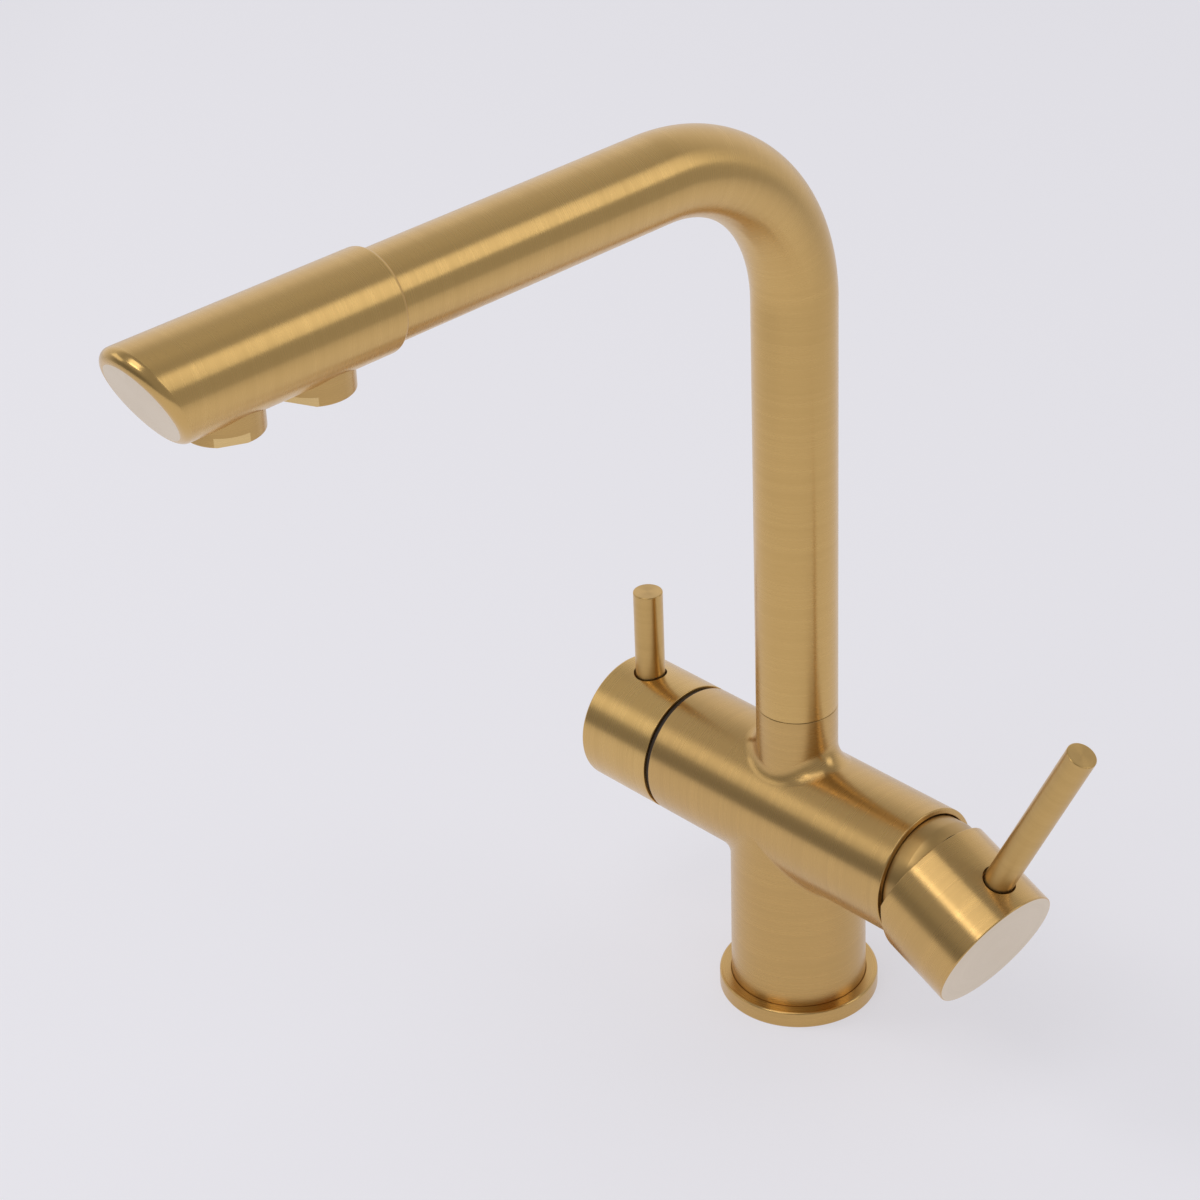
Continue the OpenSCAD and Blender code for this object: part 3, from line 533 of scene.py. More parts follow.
def brushed_metal(name, light_colour, deep_colour, rough, stretch, calm):
    """Brushed metal whose lines follow the piece's own map; the calmer, the evener its colour."""
    finish = bpy.context.scene.tap_finish
    material, tree, shader = new_material(name)
    lines = group_node(tree, "BrushedLines", brushed_lines_group)
    lines.inputs["Lines"].default_value = finish.lines
    tones = [
        maths(tree, "MULTIPLY", lines.outputs[label], weight)
        for label, weight in (("Line", 0.38), ("Scratch", 0.16), ("Band", 0.3), ("Cloud", 0.16))
    ]
    tone = tones[0]
    for other in tones[1:]:
        tone = maths(tree, "ADD", tone, other)
    factor = stretch_range(tree, tone, 0.5 - calm, 0.5 + calm)
    tree.links.new(blend_colours(tree, factor, deep_colour, light_colour), shader.inputs["Base Color"])
    spread = 0.03
    soft = stretch_range(tree, tone, 0.35, 0.65, rough + spread, rough - spread)
    tree.links.new(soft, shader.inputs["Roughness"])
    add_bump(tree, shader, lines.outputs["Line"], strength=0.13, distance=0.0006 * MM)
    tangent = tree.nodes.new("ShaderNodeTangent")
    tangent.direction_type = "UV_MAP"
    tangent.uv_map = BRUSH_MAP
    tree.links.new(tangent.outputs[0], shader.inputs["Tangent"])
    shader.inputs["Metallic"].default_value = 1
    shader.inputs["Anisotropic"].default_value = stretch
    shader.inputs["Coat Weight"].default_value = finish.lacquer
    shader.inputs["Coat Roughness"].default_value = 0.3
    return material


def plain_finish(name, light_colour, dimming, rough, metallic, scale):
    """Turned brass, steel, fired ceramic, moulded plastic or rubber with grain and slow patches."""
    material, tree, shader = new_material(name)
    mottle = group_node(tree, "Mottle", mottle_group)
    mottle.inputs["Scale"].default_value = scale
    both = maths(tree, "ADD", mottle.outputs["Grain"], mottle.outputs["Patch"])
    factor = stretch_range(tree, both, 0.7, 1.3)
    mixed = blend_colours(tree, factor, shade(light_colour, dimming), light_colour)
    tree.links.new(mixed, shader.inputs["Base Color"])
    spread = 0.06
    soft = stretch_range(tree, mottle.outputs["Patch"], 0.3, 0.7, rough - spread, rough + spread)
    tree.links.new(soft, shader.inputs["Roughness"])
    add_bump(tree, shader, mottle.outputs["Grain"], strength=0.2, distance=0.01 * MM)
    shader.inputs["Metallic"].default_value = metallic
    return material


def shade(values, factor):
    """A colour made darker or lighter."""
    return tuple(min(1.0, value * factor) for value in values)


def gold(name):
    """One of the brushed golds, made when the first piece asks for it."""
    finish = bpy.context.scene.tap_finish
    light = finish.gold
    deep = finish.gold_deep
    body = finish.gold_body
    rough = finish.rough
    stretch = finish.stretch
    # colour, colour down in the lines, roughness, stretch of the highlights, calm
    rows = {
        "BrushedGold": (light, deep, rough, stretch, 0.3),
        "TubeGold": (light, deep, rough, stretch, 0.36),
        "MattGold": (shade(light, 0.92), shade(deep, 0.92), rough + 0.04, stretch * 0.9, 0.3),
        "PolishedGold": (shade(light, 0.95), shade(deep, 0.98), rough * 0.78, 0.3, 0.5),
        "BodyGold": (body, shade(body, 0.82), rough, stretch, 0.3),
        # the collar's darker colour is painted shade, where it sits between the barrel and the cap
        "CollarGoldShade": (shade(body, 0.79), shade(body, 0.68), rough + 0.06, 0.4, 0.5),
        # the milled flats' brighter colour is a painted highlight
        "MilledGoldHighlight": (finish.gold_flat_highlight, shade(finish.gold_flat_highlight, 0.9), rough, 0.3, 0.4),
        # the flat end faces' pale colour is a painted reflection
        "FaceGoldReflection": (finish.gold_face_reflection, shade(finish.gold_face_reflection, 0.9), rough + 0.1, 0.2, 0.3),
    }
    return bpy.data.materials.get(name) or brushed_metal(name, *rows[name])


def blend_ring(stem_radius, blend, way):
    """The rolled blend between the barrel and the neck above it or the column under it."""
    rows = 2 * ARC_STEPS
    buried_r = 0.8
    buried_height = 0.9
    passes = 3
    reach = BARREL_R + blend
    bm = bmesh.new()
    bmesh.ops.create_grid(bm, x_segments=AROUND, y_segments=rows + 2, size=0.5)
    for vert in bm.verts:
        angle = (vert.co.x + 0.5) * TURN
        row = round((vert.co.y + 0.5) * (rows + 2)) % (rows + 2)
        height = reach
        for _ in range(passes):
            radius = stem_radius(height)
            side = (radius + blend) * math.sin(angle)
            height = math.sqrt(max(0.0, reach * reach - side * side))
        around = Vector((math.cos(angle), math.sin(angle), 0))
        if row > rows:
            side = buried_r * radius * math.sin(angle)
            point = around * buried_r * radius
            point.z = buried_height * math.sqrt(max(0.0, BARREL_R * BARREL_R - side * side))
        else:
            middle = around * (radius + blend) + Vector((0, 0, height))
            to_stem = -around
            to_barrel = -Vector((0, middle.y, middle.z)).normalized()
            point = middle + to_stem.slerp(to_barrel, row / rows) * blend
        vert.co = Vector((point.x, point.y, way * point.z))
    bmesh.ops.remove_doubles(bm, verts=bm.verts, dist=WELD)
    return settled(bm, Matrix.Translation((0, 0, BARREL_AXIS)))


def barrel_shell(sizes):
    """The crosswise barrel, open for the mixer at one end and for the filter valve at the other."""
    valve_floor = -VALVE_FLOOR
    valve_mouth = -42 * MM
    slip_r = 17 * MM
    seat_r = 18 * MM
    seat_floor = 28 * MM
    rim_r = BARREL_R - 2 * MM
    corners = [
        (0, valve_floor, 0), (VALVE_R, valve_floor, 0), (VALVE_R, valve_mouth, 0),
        (slip_r, valve_mouth, 0), (slip_r, -BARREL_LEFT, 0.2 * MM),
        (BARREL_R, -BARREL_LEFT, sizes.edge), (BARREL_R, BARREL_RIGHT, sizes.edge),
        (rim_r, BARREL_RIGHT, 0.2 * MM), (rim_r, RIM_FLOOR, 0), (seat_r, RIM_FLOOR, 0),
        (seat_r, seat_floor, 0), (0, seat_floor, 0),
    ]
    return as_object(turned(corners, TO_MIXER), "barrel")


def column_shell(sizes):
    """The column: hollow at its foot, with ways for the hoses and the stud, and the valve's seat."""
    hollow_r = FLANGE_R - 8.6 * MM
    hollow_end = 14 * MM
    waist_r = COLUMN_R - sizes.column_taper
    top = BARREL_AXIS - 1.5 * MM
    corners = [
        (0, hollow_end, 0), (hollow_r, hollow_end, 0), (hollow_r, COLUMN_FOOT, 0),
        (COLUMN_R, COLUMN_FOOT, 0), (waist_r, TAPER_END, 0), (waist_r, top, 0), (0, top, 0),
    ]
    hose_r = 4.5 * MM
    stud_r = 3.4 * MM
    way_start = 10 * MM
    way_end = hollow_end + 12 * MM
    ways = [
        rod(radius, way_start, way_end, Matrix.Translation((x, y, 0)), steps=HOLE_STEPS)
        for x, y, radius in (
            (11 * MM, 9.5 * MM, hose_r), (11 * MM, -9.5 * MM, hose_r), (-13 * MM, 0, hose_r),
            (0, 0, stud_r),
        )
    ]
    valve_seat = rod(VALVE_R, VALVE_FLOOR, VALVE_FLOOR + 10 * MM, TO_FILTER)
    return carve(as_object(turned(corners, UP), "column"), ways + [valve_seat])


def neck_shell(sizes):
    """The neck, with the socket for the spout's stem and the hole for the lock screw."""
    foot = BARREL_AXIS + 5 * MM
    mouth_r = 12.8 * MM
    mouth_floor = NECK_TOP - 1 * MM
    socket_r = 11 * MM
    socket_floor = NECK_TOP - 21.8 * MM
    corners = [
        (0, foot, 0), (TUBE_R, foot, 0), (TUBE_R, NECK_TOP, sizes.seam), (mouth_r, NECK_TOP, 0),
        (mouth_r, mouth_floor, 0), (socket_r, mouth_floor, 0), (socket_r, socket_floor, 0),
        (0, socket_floor, 0),
    ]
    screw_height = (low("spout_lock_screw").z + high("spout_lock_screw").z) / 2
    screw_way = Matrix.Translation((0, 0, screw_height)) @ Matrix.Rotation(-QUARTER, 4, "X")
    screw_hole = rod(SCREW_R, 8 * MM, 16 * MM, screw_way, steps=HOLE_STEPS)
    return carve(as_object(turned(corners, UP), "neck"), [screw_hole])


class TAP_OT_body(bpy.types.Operator):
    """Model the body casting: barrel, column and neck with their blends"""

    bl_idname = "tap.body"
    bl_label = "Body Casting"

    def execute(self, context):
        sizes = context.scene.tap_sizes

        def column_radius(depth):
            """The column's radius at a depth under the barrel's axis."""
            up = min(1.0, max(0.0, (BARREL_AXIS - depth) / TAPER_END))
            return COLUMN_R - sizes.column_taper * up

        shells = [
            barrel_shell(sizes),
            column_shell(sizes),
            neck_shell(sizes),
            as_object(blend_ring(lambda height: TUBE_R, sizes.neck_blend, 1), "neck_blend"),
            as_object(blend_ring(column_radius, sizes.column_blend, -1), "column_blend"),
        ]
        dress(joined("TapBody", shells), "body_casting", gold("BodyGold"))
        return {"FINISHED"}


class TAP_OT_flange(bpy.types.Operator):
    """Model the base flange with its rounded lip"""

    bl_idname = "tap.flange"
    bl_label = "Base Flange"

    def execute(self, context):
        bore = COLUMN_R + 0.05 * MM
        lip = FLANGE_R - 8.1 * MM
        groove_in = 22 * MM
        groove_out = 25.5 * MM
        groove_top = 1.5 * MM
        corners = [
            (lip, 0, 0), (groove_in, 0, 0), (groove_in, groove_top, 0), (groove_out, groove_top, 0),
            (groove_out, 0, 0), (FLANGE_R, 0, 0.4 * MM), (FLANGE_R, FLANGE_TOP, 0.8 * MM),
            (bore, FLANGE_TOP, 0.3 * MM), (bore, COLUMN_FOOT, 0), (lip, COLUMN_FOOT, 0),
        ]
        flange = as_object(turned(corners, UP, closed=True), "BaseFlange")
        dress(flange, "base_flange", gold("BodyGold"))
        return {"FINISHED"}


def lever_holes(radius, gap, seat, lever_way, screw_way):
    """Cutters for a lever's hole and for the grub screw's hole on the side away from it."""
    outside = 12 * MM
    screw_start = 4 * MM
    screw_end = 30 * MM
    away = screw_way @ Matrix.Rotation(math.pi, 4, "X")
    return [
        rod(radius + gap, seat, seat + outside, lever_way, steps=2 * HOLE_STEPS),
        rod(SCREW_R, screw_start, screw_end, away, steps=HOLE_STEPS),
    ]


def add_lever(name, node, radius, seat, top, place):
    """A lever, from the thin stub in its handle to its free end."""
    stub_r = 3.95 * MM
    stub_end = seat - 8.7 * MM
    corners = [
        (0, stub_end, 0), (stub_r, stub_end, 0), (stub_r, seat, 0), (radius, seat, 0.2 * MM),
        (radius, top, 0.35 * MM), (0, top, 0),
    ]
    dress(as_object(turned(corners, place), name), node, gold("MattGold"))


class TAP_OT_mixer(bpy.types.Operator):
    """Model the mixer's collar, its handle cap and its lever"""

    bl_idname = "tap.mixer"
    bl_label = "Mixer Handle"

    def execute(self, context):
        sizes = context.scene.tap_sizes
        pivot = HANDLE_PIVOT.x
        shelf = RIM_FLOOR - pivot
        collar_r = BARREL_R - 2.5 * MM
        collar_bore = collar_r - 3.4 * MM
        dome_r = collar_r + 1.2 * MM
        dome_end = 11.3 * MM
        dome_steps = 10
        dome = arc(dome_r, math.acos(collar_r / dome_r), math.asin(dome_end / dome_r), dome_steps)
        collar = turned(
            [(collar_bore, shelf, 0), (collar_r, shelf, 0), *dome, (collar_bore, dome_end, 0)],
            TO_MIXER @ Matrix.Translation((0, 0, pivot)),
            closed=True,
        )
        # The collar gets a darker gold: painted shade between the barrel and the cap.
        dress(as_object(collar, "MixerCollar"), "mixer_collar", gold("CollarGoldShade"))

        cap_r = dome_r + 2 * MM
        cap_start = 3.9 * MM
        cap_end = cap_start + 33.1 * MM
        dome_side = math.sqrt(dome_r**2 - dome_end**2)
        cap_floor = dome_end * math.cos(TILT_FULL) + dome_side * math.sin(TILT_FULL) + 1.3 * MM
        bore_r = 3.85 * MM
        bore_end = 25 * MM
        boss_r = 8.5 * MM
        boss_end = cap_floor - 6.6 * MM
        hollow_r = dome_r + 0.7 * MM
        hollow_steps = 24
        hollow = arc(
            hollow_r, math.asin(cap_floor / hollow_r), math.asin(cap_start / hollow_r), hollow_steps
        )
        corners = [
            (0, bore_end, 0), (bore_r, bore_end, 0), (bore_r, boss_end, 0), (boss_r, boss_end, 0),
            (boss_r, cap_floor, 0), *hollow, (cap_r, cap_start, 0.25 * MM),
            (cap_r, cap_end, 0.4 * MM), (0, cap_end, 0),
        ]
        lever_r = 5.2 * MM
        seat = cap_r - 5 * MM
        lever_out = 24.6 * MM
        lever_lean = math.radians(1.8)
        screw_out = 22.5 * MM
        lever_way = IN_HANDLE @ Matrix.Translation((lever_out, 0, 0))
        lever_way = lever_way @ Matrix.Rotation(lever_lean, 4, "Y")
        screw_way = IN_HANDLE @ Matrix.Translation((screw_out, 0, 0))
        bevel_way = IN_HANDLE @ Matrix.Rotation(-TILT_FULL, 4, "Y")
        bevel_end = 3.5 * MM
        far = 60 * MM
        bevel = block((-far, -far, -far), (bevel_end, far, far), bevel_way)
        cap = as_object(turned(corners, HANDLE_OUT), "HandleCap")
        carve(cap, [bevel, *lever_holes(lever_r, sizes.lever_gap, seat, lever_way, screw_way)])
        dress(cap, "handle_cap", gold("BodyGold"))
        outward = IN_HANDLE.to_3x3() @ Vector((1, 0, 0))
        # The cap's flat end gets the pale face gold, a painted reflection.
        on_face = 0.999
        paint_faces(
            cap, gold("FaceGoldReflection"),
            lambda face: face.normal.dot(outward) > on_face
            and (face.center - HANDLE_PIVOT).dot(outward) > cap_end - 0.1 * MM,
        )
        lever_top = 89.5 * MM
        add_lever("HandleLever", "handle_lever", lever_r, seat, lever_top, lever_way)
        return {"FINISHED"}


class TAP_OT_filter(bpy.types.Operator):
    """Model the filter knob and its lever"""

    bl_idname = "tap.filter"
    bl_label = "Filter Knob"

    def execute(self, context):
        sizes = context.scene.tap_sizes
        start = -high("filter_knob").x
        end = -low("filter_knob").x
        bore_r = 3.95 * MM
        bore_end = start + 24.1 * MM
        boss_r = 8 * MM
        boss_end = start + 1.6 * MM
        hollow_r = BARREL_R - 3 * MM
        hollow_end = start + 12 * MM
        corners = [
            (0, bore_end, 0), (bore_r, bore_end, 0), (bore_r, boss_end, 0),
            (boss_r, boss_end, 0.2 * MM), (boss_r, hollow_end, 0), (hollow_r, hollow_end, 0),
            (hollow_r, start, 0.2 * MM), (BARREL_R, start, 0.3 * MM), (BARREL_R, end, 0.8 * MM),
            (0, end, 0),
        ]
        lever_x = -(low("filter_lever").x + high("filter_lever").x) / 2
        lever_r = (high("filter_lever").x - low("filter_lever").x) / 2
        lever_top = high("filter_lever").z - BARREL_AXIS
        lever_way = Matrix.Translation((-lever_x, 0, BARREL_AXIS))
        seat = BARREL_R - 5 * MM
        knob = as_object(turned(corners, TO_FILTER), "FilterKnob")
        carve(knob, lever_holes(lever_r, sizes.lever_gap, seat, lever_way, lever_way))
        dress(knob, "filter_knob", gold("BrushedGold"))
        add_lever("FilterLever", "filter_lever", lever_r, seat, lever_top, lever_way)
        return {"FINISHED"}


def tube_map(bm, bend, rise):
    """Maps the spout's tube along its middle line, u along the path and v around it."""
    bm.normal_update()
    layer = bm.loops.layers.uv.new(BRUSH_MAP)
    corner = Vector((0, -bend, rise))

    def along(point):
        """Length along the middle line, and the angle around it."""
        if point.z <= rise and point.y > -bend + WELD:
            return point.z, math.atan2(point.y, point.x)
        if point.y <= -bend + WELD:
            return rise + bend * QUARTER - (point.y + bend), math.atan2(point.z - ARM_AXIS, point.x)
        spoke = Vector((0, point.y - corner.y, point.z - corner.z))
        bent = bend * math.atan2(spoke.z, spoke.y)
        return rise + bent, math.atan2(spoke.length - bend, point.x)

    for face in bm.faces:
        start = along(face.calc_center_median())[1]
        for loop in face.loops:
            reach, angle = along(loop.vert.co)
            angle += TURN * round((start - angle) / TURN)
            loop[layer].uv = (reach, angle / TURN)


def extended(bm, edges):
    """Extrudes a ring of edges, and gives the new vertices and the edges made with them."""
    grown = bmesh.ops.extrude_edge_only(bm, edges=edges)["geom"]
    verts = [item for item in grown if isinstance(item, bmesh.types.BMVert)]
    return verts, [item for item in grown if isinstance(item, bmesh.types.BMEdge)]


def close_end(bm, outer, inner):
    """Closes a tube's end between its outer and its inner ring of edges."""
    middles = [(edge, edge.verts[0].co + edge.verts[1].co) for edge in inner]
    for edge in outer:
        here = edge.verts[0].co + edge.verts[1].co
        match = min(middles, key=lambda pair: (pair[1] - here).length)[0]
        bmesh.ops.contextual_create(bm, geom=[edge, match])


class TAP_OT_spout(bpy.types.Operator):
    """Bend the spout's tube along its path"""

    bl_idname = "tap.spout"
    bl_label = "Spout Tube"

    def execute(self, context):
        sizes = context.scene.tap_sizes
        foot = low("spout_tube").z
        reach = -low("spout_tube").y
        rise = ARM_AXIS - sizes.bend
        beside = 0.5 * MM
        bm = bmesh.new()
        ends = []
        for radius, seam in ((TUBE_R, sizes.seam), (TUBE_R - sizes.tube_wall, 0)):
            ring = bmesh.ops.create_circle(
                bm, segments=AROUND, radius=radius - seam, cap_ends=False,
                matrix=Matrix.Translation((0, 0, foot)),
            )["verts"]
            edges = list({edge for vert in ring for edge in vert.link_edges})
            ends.append(edges)
            for height in (foot + max(seam, 0.05 * MM), foot + beside, rise - beside, rise):
                verts, edges = extended(bm, edges)
                for vert in verts:
                    flat = Vector((vert.co.x, vert.co.y, 0)).normalized() * radius
                    vert.co = (flat.x, flat.y, height)
            bent = bmesh.ops.spin(
                bm, geom=verts + edges, cent=(0, -sizes.bend, rise), axis=(1, 0, 0), dvec=(0, 0, 0),
                angle=QUARTER, steps=96, use_merge=False, use_duplicate=False,
            )["geom_last"]
            edges = [item for item in bent if isinstance(item, bmesh.types.BMEdge)]
            for place in (-sizes.bend - beside, -reach):
                verts, edges = extended(bm, edges)
                for vert in verts:
                    vert.co.y = place
            ends.append(edges)
        close_end(bm, ends[0], ends[2])
        close_end(bm, ends[1], ends[3])
        bmesh.ops.recalc_face_normals(bm, faces=bm.faces)
        tube_map(bm, sizes.bend, rise)
        dress(as_object(bm, "SpoutTube"), "spout_tube", gold("TubeGold"))
        return {"FINISHED"}


def slant_tip(bm, sizes, first, rows, face_rows):
    """Moves the head's last rows onto the slanted tip and the rounding around it."""
    blend = sizes.head_blend
    slope = math.atan(TIP_FALL)
    outward = Vector((0, -math.sin(slope), math.cos(slope)))
    for vert in bm.verts:
        row = round((vert.co.z - first) / ROW_GAP)
        on_bore = row <= rows and vert.co.xy.length < HEAD_R - WELD
        if row < 0 or on_bore:
            continue
        angle = math.atan2(vert.co.y, vert.co.x)
        around = Vector((math.cos(angle), math.sin(angle), 0))
        middle = around * (HEAD_R - blend)
        middle.z = sizes.tip_plane + TIP_FALL * middle.y - blend / math.cos(slope)
        if row <= rows:
            vert.co = middle + around.slerp(outward, row / rows) * blend
        else:
            edge = middle + outward * blend
            centre = Vector((0, 0, sizes.tip_plane))
            vert.co = centre.lerp(edge, max(0.0, 1 - (row - rows) / face_rows))
    return outward


class TAP_OT_head(bpy.types.Operator):
    """Model the spout's head with its slanted, softly rounded tip"""

    bl_idname = "tap.head"
    bl_label = "Spout Head"

    def execute(self, context):
        sizes = context.scene.tap_sizes
        blend = sizes.head_blend
        straight = sizes.tip_plane - HEAD_R
        first = straight + 1 * MM
        rows = 3 * ARC_STEPS
        face_rows = 4
        bore_r = HEAD_R - 2.6 * MM
        bore_end = sizes.tip_plane - 13.5 * MM
        grip_r = TUBE_R + 0.05 * MM
        grip_end = HEAD_START + 10.75 * MM
        corners = [
            (0, bore_end, 0), (bore_r, bore_end, 0), (bore_r, grip_end, 0), (grip_r, grip_end, 0),
            (grip_r, HEAD_START, 0.2 * MM), (HEAD_R, HEAD_START, 1.5 * MM), (HEAD_R, straight, 0),
        ]
        corners += [(HEAD_R, first + i * ROW_GAP, 0) for i in range(rows + 1)]
        for i in range(1, face_rows + 1):
            corners.append((HEAD_R * (1 - i / face_rows), first + (rows + i) * ROW_GAP, 0))
        bm = spun(rounded(corners, False))
        outward = slant_tip(bm, sizes, first, rows, face_rows)
        head = as_object(settled(bm, ALONG_ARM), "SpoutHead")
        hole_r = OUTLET_R + 0.05 * MM
        hole_depth = 22 * MM
        holes = []
        for node in ("mixed_outlet", "filter_outlet"):
            place = Matrix.Translation((0, (low(node).y + high(node).y) / 2, ARM_AXIS - 30 * MM))
            holes.append(rod(hole_r, 0, hole_depth, place))
        carve(head, holes)
        dress(head, "spout_head", gold("BrushedGold"))
        facing = ALONG_ARM.to_3x3() @ outward
        on_face = 0.9995
        forward = 0.03
        # The slanted tip face gets the pale face gold, a painted reflection.
        paint_faces(head, gold("FaceGoldReflection"), lambda face: face.normal.dot(facing) > on_face)
        paint_faces(
            head, gold("PolishedGold"),
            lambda face: face.normal.y < -forward and face.normal.dot(facing) <= on_face
            and math.hypot(face.center.x, face.center.z - ARM_AXIS) > HEAD_R - blend
            and face.center.y < -straight + 4 * blend,
        )
        return {"FINISHED"}


class TAP_OT_outlets(bpy.types.Operator):
    """Model the two outlets with the flats for a spanner"""

    bl_idname = "tap.outlets"
    bl_label = "Outlets"

    def execute(self, context):
        flat_height = 3 * MM
        inner = OUTLET_R - 2.15 * MM
        mouth = inner - 0.9 * MM
        mouth_top = 0.8 * MM
        on_flat = 0.9999
        for name, node, turn_angle, flat_out in (
            ("MixedOutlet", "mixed_outlet", -26, 10.5 * MM),
            ("FilterOutlet", "filter_outlet", -66, 9.9 * MM),
        ):
            bottom = low(node).z
            top = high(node).z - bottom
            place = Matrix.Translation((0, (low(node).y + high(node).y) / 2, bottom))
            corners = [
                (mouth, 0, 0.2 * MM), (OUTLET_R, 0, 0.5 * MM), (OUTLET_R, top, 0), (inner, top, 0),
                (inner, mouth_top, 0), (mouth, mouth_top, 0),
            ]
            outlet = as_object(turned(corners, place, closed=True), name)
            flats = []
            for side in (0, math.pi):
                way = place @ Matrix.Rotation(side + math.radians(turn_angle), 4, "Z")
                flats.append(
                    block((flat_out, -OUTLET_R, -1 * MM), (2 * OUTLET_R, OUTLET_R, flat_height), way)
                )
            carve(outlet, flats)
            dress(outlet, node, gold("BodyGold"))
            # The milled flats get a brighter gold, a painted highlight.
            across = Matrix.Rotation(math.radians(turn_angle), 3, "Z") @ Vector((1, 0, 0))
            paint_faces(
                outlet, gold("MilledGoldHighlight"),
                lambda face: abs(face.normal.dot(across)) > on_flat
                and abs((face.center - place.translation).dot(across)) < flat_out + 0.05 * MM,
            )
        return {"FINISHED"}


class TAP_OT_fittings(bpy.types.Operator):
    """Finish the fittings that stay as they are: brass, steel, ceramic, plastic and rubber"""

    bl_idname = "tap.fittings"
    bl_label = "Inner Fittings"

    def execute(self, context):
        finish = context.scene.tap_finish
        metal = 1.0
        plain = 0.0
        finishes = {
            slot: plain_finish(*values)
            for slot, *values in (
                ("raw_brass", "TurnedBrass", finish.brass, 0.85, 0.3, metal, 700.0),
                ("steel", "PlainSteel", finish.steel, 0.8, 0.28, metal, 900.0),
                ("ceramic", "FiredCeramic", finish.ceramic, 0.92, 0.22, plain, 500.0),
                ("white_plastic", "WhiteMoulding", finish.white, 0.92, 0.42, plain, 400.0),
                ("black_rubber", "SealRubber", finish.rubber, 0.7, 0.62, plain, 800.0),
                ("dark_plastic", "DarkMoulding", finish.dark, 0.7, 0.45, plain, 600.0),
            )
        }
        slots = {part["node"]: part["material_slot"] for part in frame["record"]["subparts"]}
        for name, node in NODES.items():
            if node.hide_render:
                continue
            if slots[name] not in finishes:
                raise RuntimeError(f"{name}: no finish for {slots[name]}")
            node.data.materials.clear()
            node.data.materials.append(finishes[slots[name]])
        return {"FINISHED"}


def paper_floor(studio):
    """The pale floor: it glows a little, has painted shade that dims it towards its sides, and melts
    into the backdrop.
    """
    yaw = studio.camera_turn[0]
    bm = bmesh.new()
    bmesh.ops.create_grid(bm, x_segments=8, y_segments=8, size=0.5)
    facing = Matrix.Rotation(yaw, 4, "Z") @ Matrix.Translation((0, studio.floor_back, 0))
    bm.transform(facing @ Matrix.Diagonal((studio.floor_width, studio.floor_run, 1, 1)))
    floor = as_object(bm, "PaleFloor")
    material, tree, shader = new_material("PaperFloor")
    place = object_place(tree)
    aside = vector_maths(tree, "DOT_PRODUCT", place, (math.cos(yaw), math.sin(yaw), 0))
    away = maths(tree, "ABSOLUTE", aside)
    side_shade_width = (0.35, 1.1)
    melt_width = (0.6, 1.1)
    melt_length = (1.05, 1.45)
    # Painted shade: the floor's colour and glow dim towards its sides, standing in for less light
    # there.
    side_shade = stretch_range(tree, away, *side_shade_width)
    at_sides = stretch_range(tree, away, *melt_width)
    at_ends = stretch_range(tree, vector_maths(tree, "LENGTH", place), *melt_length)
    edge = maths(tree, "MAXIMUM", at_sides, at_ends)
    melt = maths(tree, "MULTIPLY", edge, camera_ray(tree))
    shaded_floor = shade(studio.floor, 0.78)
    for label, factor, beyond in (
        ("Base Color", studio.paper, 0.0), ("Emission Color", 1.0, 1 / studio.glow),
    ):
        near = blend_colours(tree, side_shade, shade(studio.floor, factor), shade(shaded_floor, factor))
        backdrop = tuple(value * beyond for value in studio.floor)
        tree.links.new(blend_colours(tree, melt, near, backdrop), shader.inputs[label])
    shader.inputs["Roughness"].default_value = 1
    shader.inputs["Specular IOR Level"].default_value = 0
    shader.inputs["Emission Strength"].default_value = studio.glow
    floor.data.materials.append(material)


def area_light(name, place, size, power):
    """A soft, slightly warm light that faces the tap."""
    lamp = bpy.data.lights.new(name, "AREA")
    lamp.shape = "RECTANGLE"
    lamp.size, lamp.size_y = size
    lamp.energy = power
    lamp.color = (1.0, 0.99, 0.97)
    light = bpy.data.objects.new(name, lamp)
    light.location = place
    light.rotation_euler = (TAP_MIDDLE - Vector(place)).to_track_quat("-Z", "Y").to_euler()
    bpy.context.scene.collection.objects.link(light)
    return light


def studio_world(context):
    """A pale backdrop behind, a dimmer room above and at the sides, and plain paper to the camera."""
    studio = context.scene.tap_studio
    world = bpy.data.worlds.new("PaleStudio")
    context.scene.world = world
    world.use_nodes = True
    tree = world.node_tree
    direction = tree.nodes.new("ShaderNodeTexCoord").outputs["Generated"]

    def facing(way, from_low, from_high, to_low=0.0, to_high=1.0):
        """A value that follows how far the view direction points one way."""
        toward = vector_maths(tree, "DOT_PRODUCT", direction, way)
        return stretch_range(tree, toward, from_low, from_high, to_low, to_high)

    yaw = studio.camera_turn[0]
    upward = (0, 0, 1)
    rightward = (math.cos(yaw), math.sin(yaw), 0)
    backward = (-math.sin(yaw), math.cos(yaw), 0)
    frontward = (-0.15, -0.989, 0)
    sweep = facing(backward, 0.1, 0.75)
    under_top = facing(upward, 0.6, 0.85, 1.0, 0.0)
    paper = maths(tree, "MULTIPLY", sweep, under_top)
    bright = stretch_range(tree, paper, 0.0, 1.0, studio.room, studio.sweep)
    low_down = facing(upward, 0.15, 0.45, 1.0, 0.0)
    right = facing(rightward, 0.6, 0.95, 0.0, studio.room_right)
    front = facing(frontward, 0.5, 0.95, 0.0, studio.room_front)
    change = maths(tree, "SUBTRACT", right, front)
    bright = maths(tree, "ADD", bright, maths(tree, "MULTIPLY", change, low_down))
    tinted = vector_maths(tree, "SCALE", (1.0, 0.99, 1.02), bright)
    picked = blend_colours(tree, camera_ray(tree), tinted, studio.floor)
    tree.links.new(picked, tree.nodes["Background"].inputs["Color"])


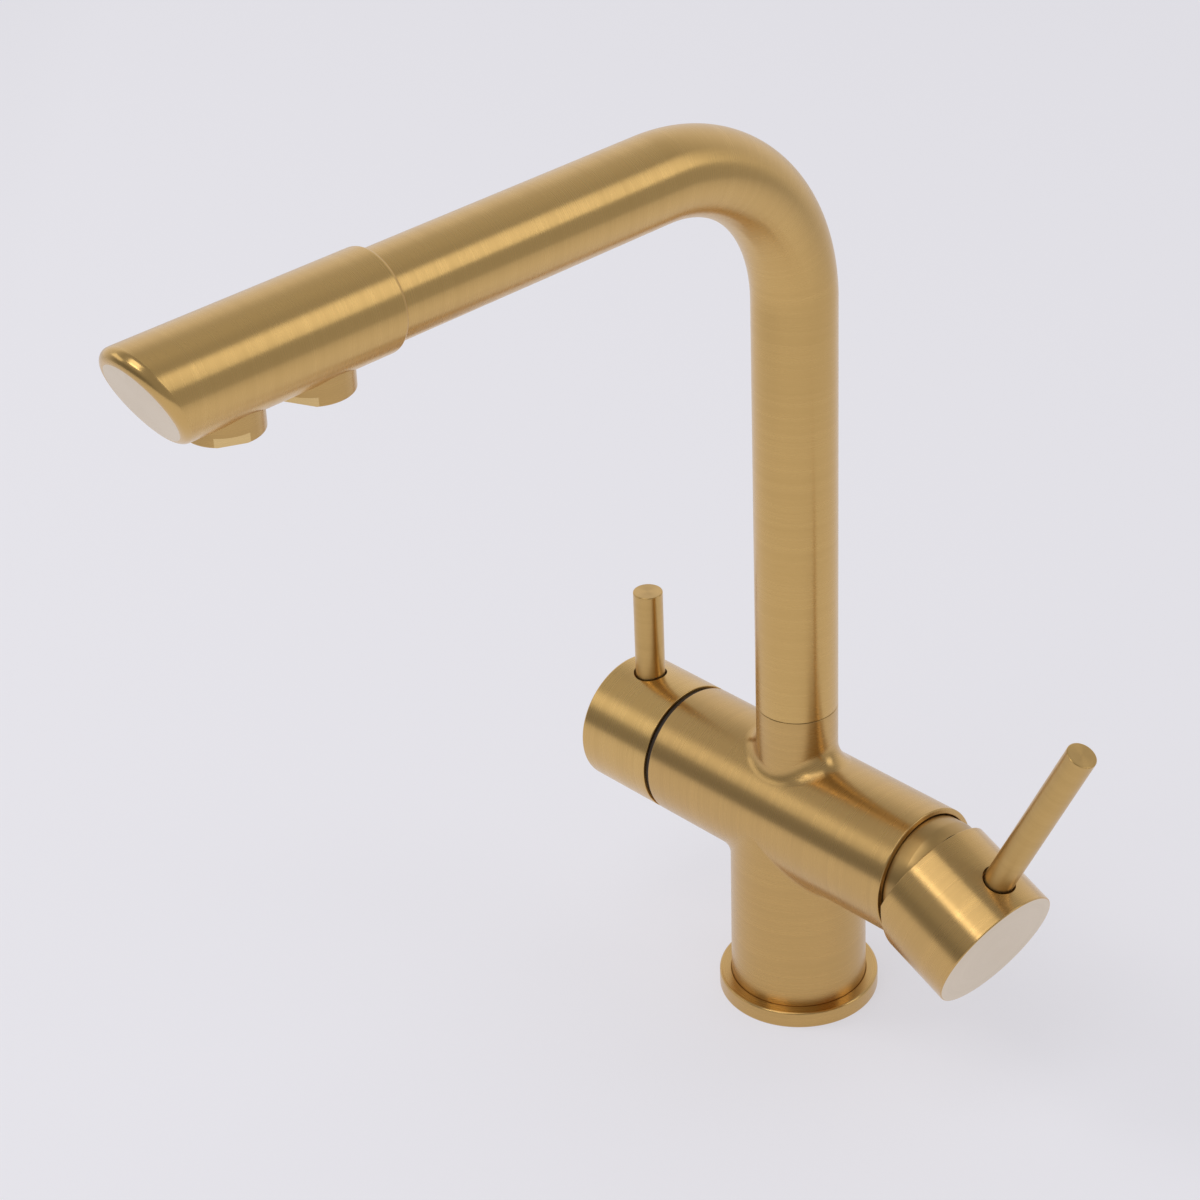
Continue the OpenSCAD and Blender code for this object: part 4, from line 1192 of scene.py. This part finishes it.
def photo_camera(studio):
    """The camera, at the place and the turn that the photograph was taken from."""
    camera = bpy.data.objects.new("PhotoCamera", bpy.data.cameras.new("PhotoCamera"))
    bpy.context.scene.collection.objects.link(camera)
    yaw, pitch, roll = studio.camera_turn
    back = Vector(
        (math.sin(yaw) * math.cos(pitch), -math.cos(yaw) * math.cos(pitch), math.sin(pitch))
    )
    right = Vector((math.cos(yaw), math.sin(yaw), 0))
    turned_way = Matrix((right, back.cross(right), back)).transposed()
    turned_way = turned_way @ Matrix.Rotation(roll, 3, "Z")
    camera.matrix_world = Matrix.Translation(studio.camera_place) @ turned_way.to_4x4()
    camera.data.sensor_width = 36
    camera.data.lens = studio.focal
    camera.data.clip_end = 50
    return camera


class TAP_OT_studio(bpy.types.Operator):
    """Set the pale floor, the soft lights and the camera"""

    bl_idname = "tap.studio"
    bl_label = "Studio"

    def execute(self, context):
        studio = context.scene.tap_studio
        paper_floor(studio)
        # name, place, width and height in metres, watts
        for name, place, size, power in (
            ("LeftSoftbox", (-1.92, -1.78, 1.54), (1.6, 1.0), 3.8),
            ("RightSoftbox", (1.87, 1.44, 1.8), (1.2, 1.5), 6.6),
            ("TopSoftbox", (0.05, -1.12, 2.6), (1.2, 2.2), 12.0),
            ("FrontStrip", (0.05, -1.7, 1.92), (1.0, 0.35), 2.2),
        ):
            area_light(name, place, size, power)
        key = area_light("ShadowKey", (-1.5, -1.0, 1.5), (0.9, 0.9), 9.5)
        key.visible_glossy = False
        studio_world(context)
        context.scene.camera = photo_camera(studio)
        context.scene.view_settings.view_transform = "Standard"
        return {"FINISHED"}


OPERATORS = (
    TAP_OT_studio, TAP_OT_body, TAP_OT_flange, TAP_OT_mixer, TAP_OT_filter,
    TAP_OT_spout, TAP_OT_head, TAP_OT_outlets, TAP_OT_fittings,
)


class TAP_PT_panel(bpy.types.Panel):
    """Lists the tap's pieces, sizes and finishes"""

    bl_label = "Water Tap"
    bl_idname = "TAP_PT_panel"
    bl_space_type = "VIEW_3D"
    bl_region_type = "UI"
    bl_category = "Water Tap"

    def draw(self, context):
        for operator in OPERATORS:
            self.layout.operator(operator.bl_idname)
        for group in (context.scene.tap_sizes, context.scene.tap_finish, context.scene.tap_studio):
            box = self.layout.box()
            for name in group.bl_rna.properties.keys():
                if name not in ("rna_type", "name"):
                    box.prop(group, name)


CLASSES = (TapSizes, TapFinish, TapStudio, *OPERATORS, TAP_PT_panel)


def register():
    """Registers the classes and the settings."""
    for item in CLASSES:
        bpy.utils.register_class(item)
    bpy.types.Scene.tap_sizes = bpy.props.PointerProperty(type=TapSizes)
    bpy.types.Scene.tap_finish = bpy.props.PointerProperty(type=TapFinish)
    bpy.types.Scene.tap_studio = bpy.props.PointerProperty(type=TapStudio)


def unregister():
    """Takes the settings and the classes away again."""
    del bpy.types.Scene.tap_studio
    del bpy.types.Scene.tap_finish
    del bpy.types.Scene.tap_sizes
    for item in reversed(CLASSES):
        bpy.utils.unregister_class(item)


def main():
    """Builds the tap in its studio."""
    register()
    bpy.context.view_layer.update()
    bpy.ops.tap.studio()
    bpy.ops.tap.body()
    bpy.ops.tap.flange()
    bpy.ops.tap.mixer()
    bpy.ops.tap.filter()
    bpy.ops.tap.spout()
    bpy.ops.tap.head()
    bpy.ops.tap.outlets()
    bpy.ops.tap.fittings()


if __name__ == "__main__":
    main()
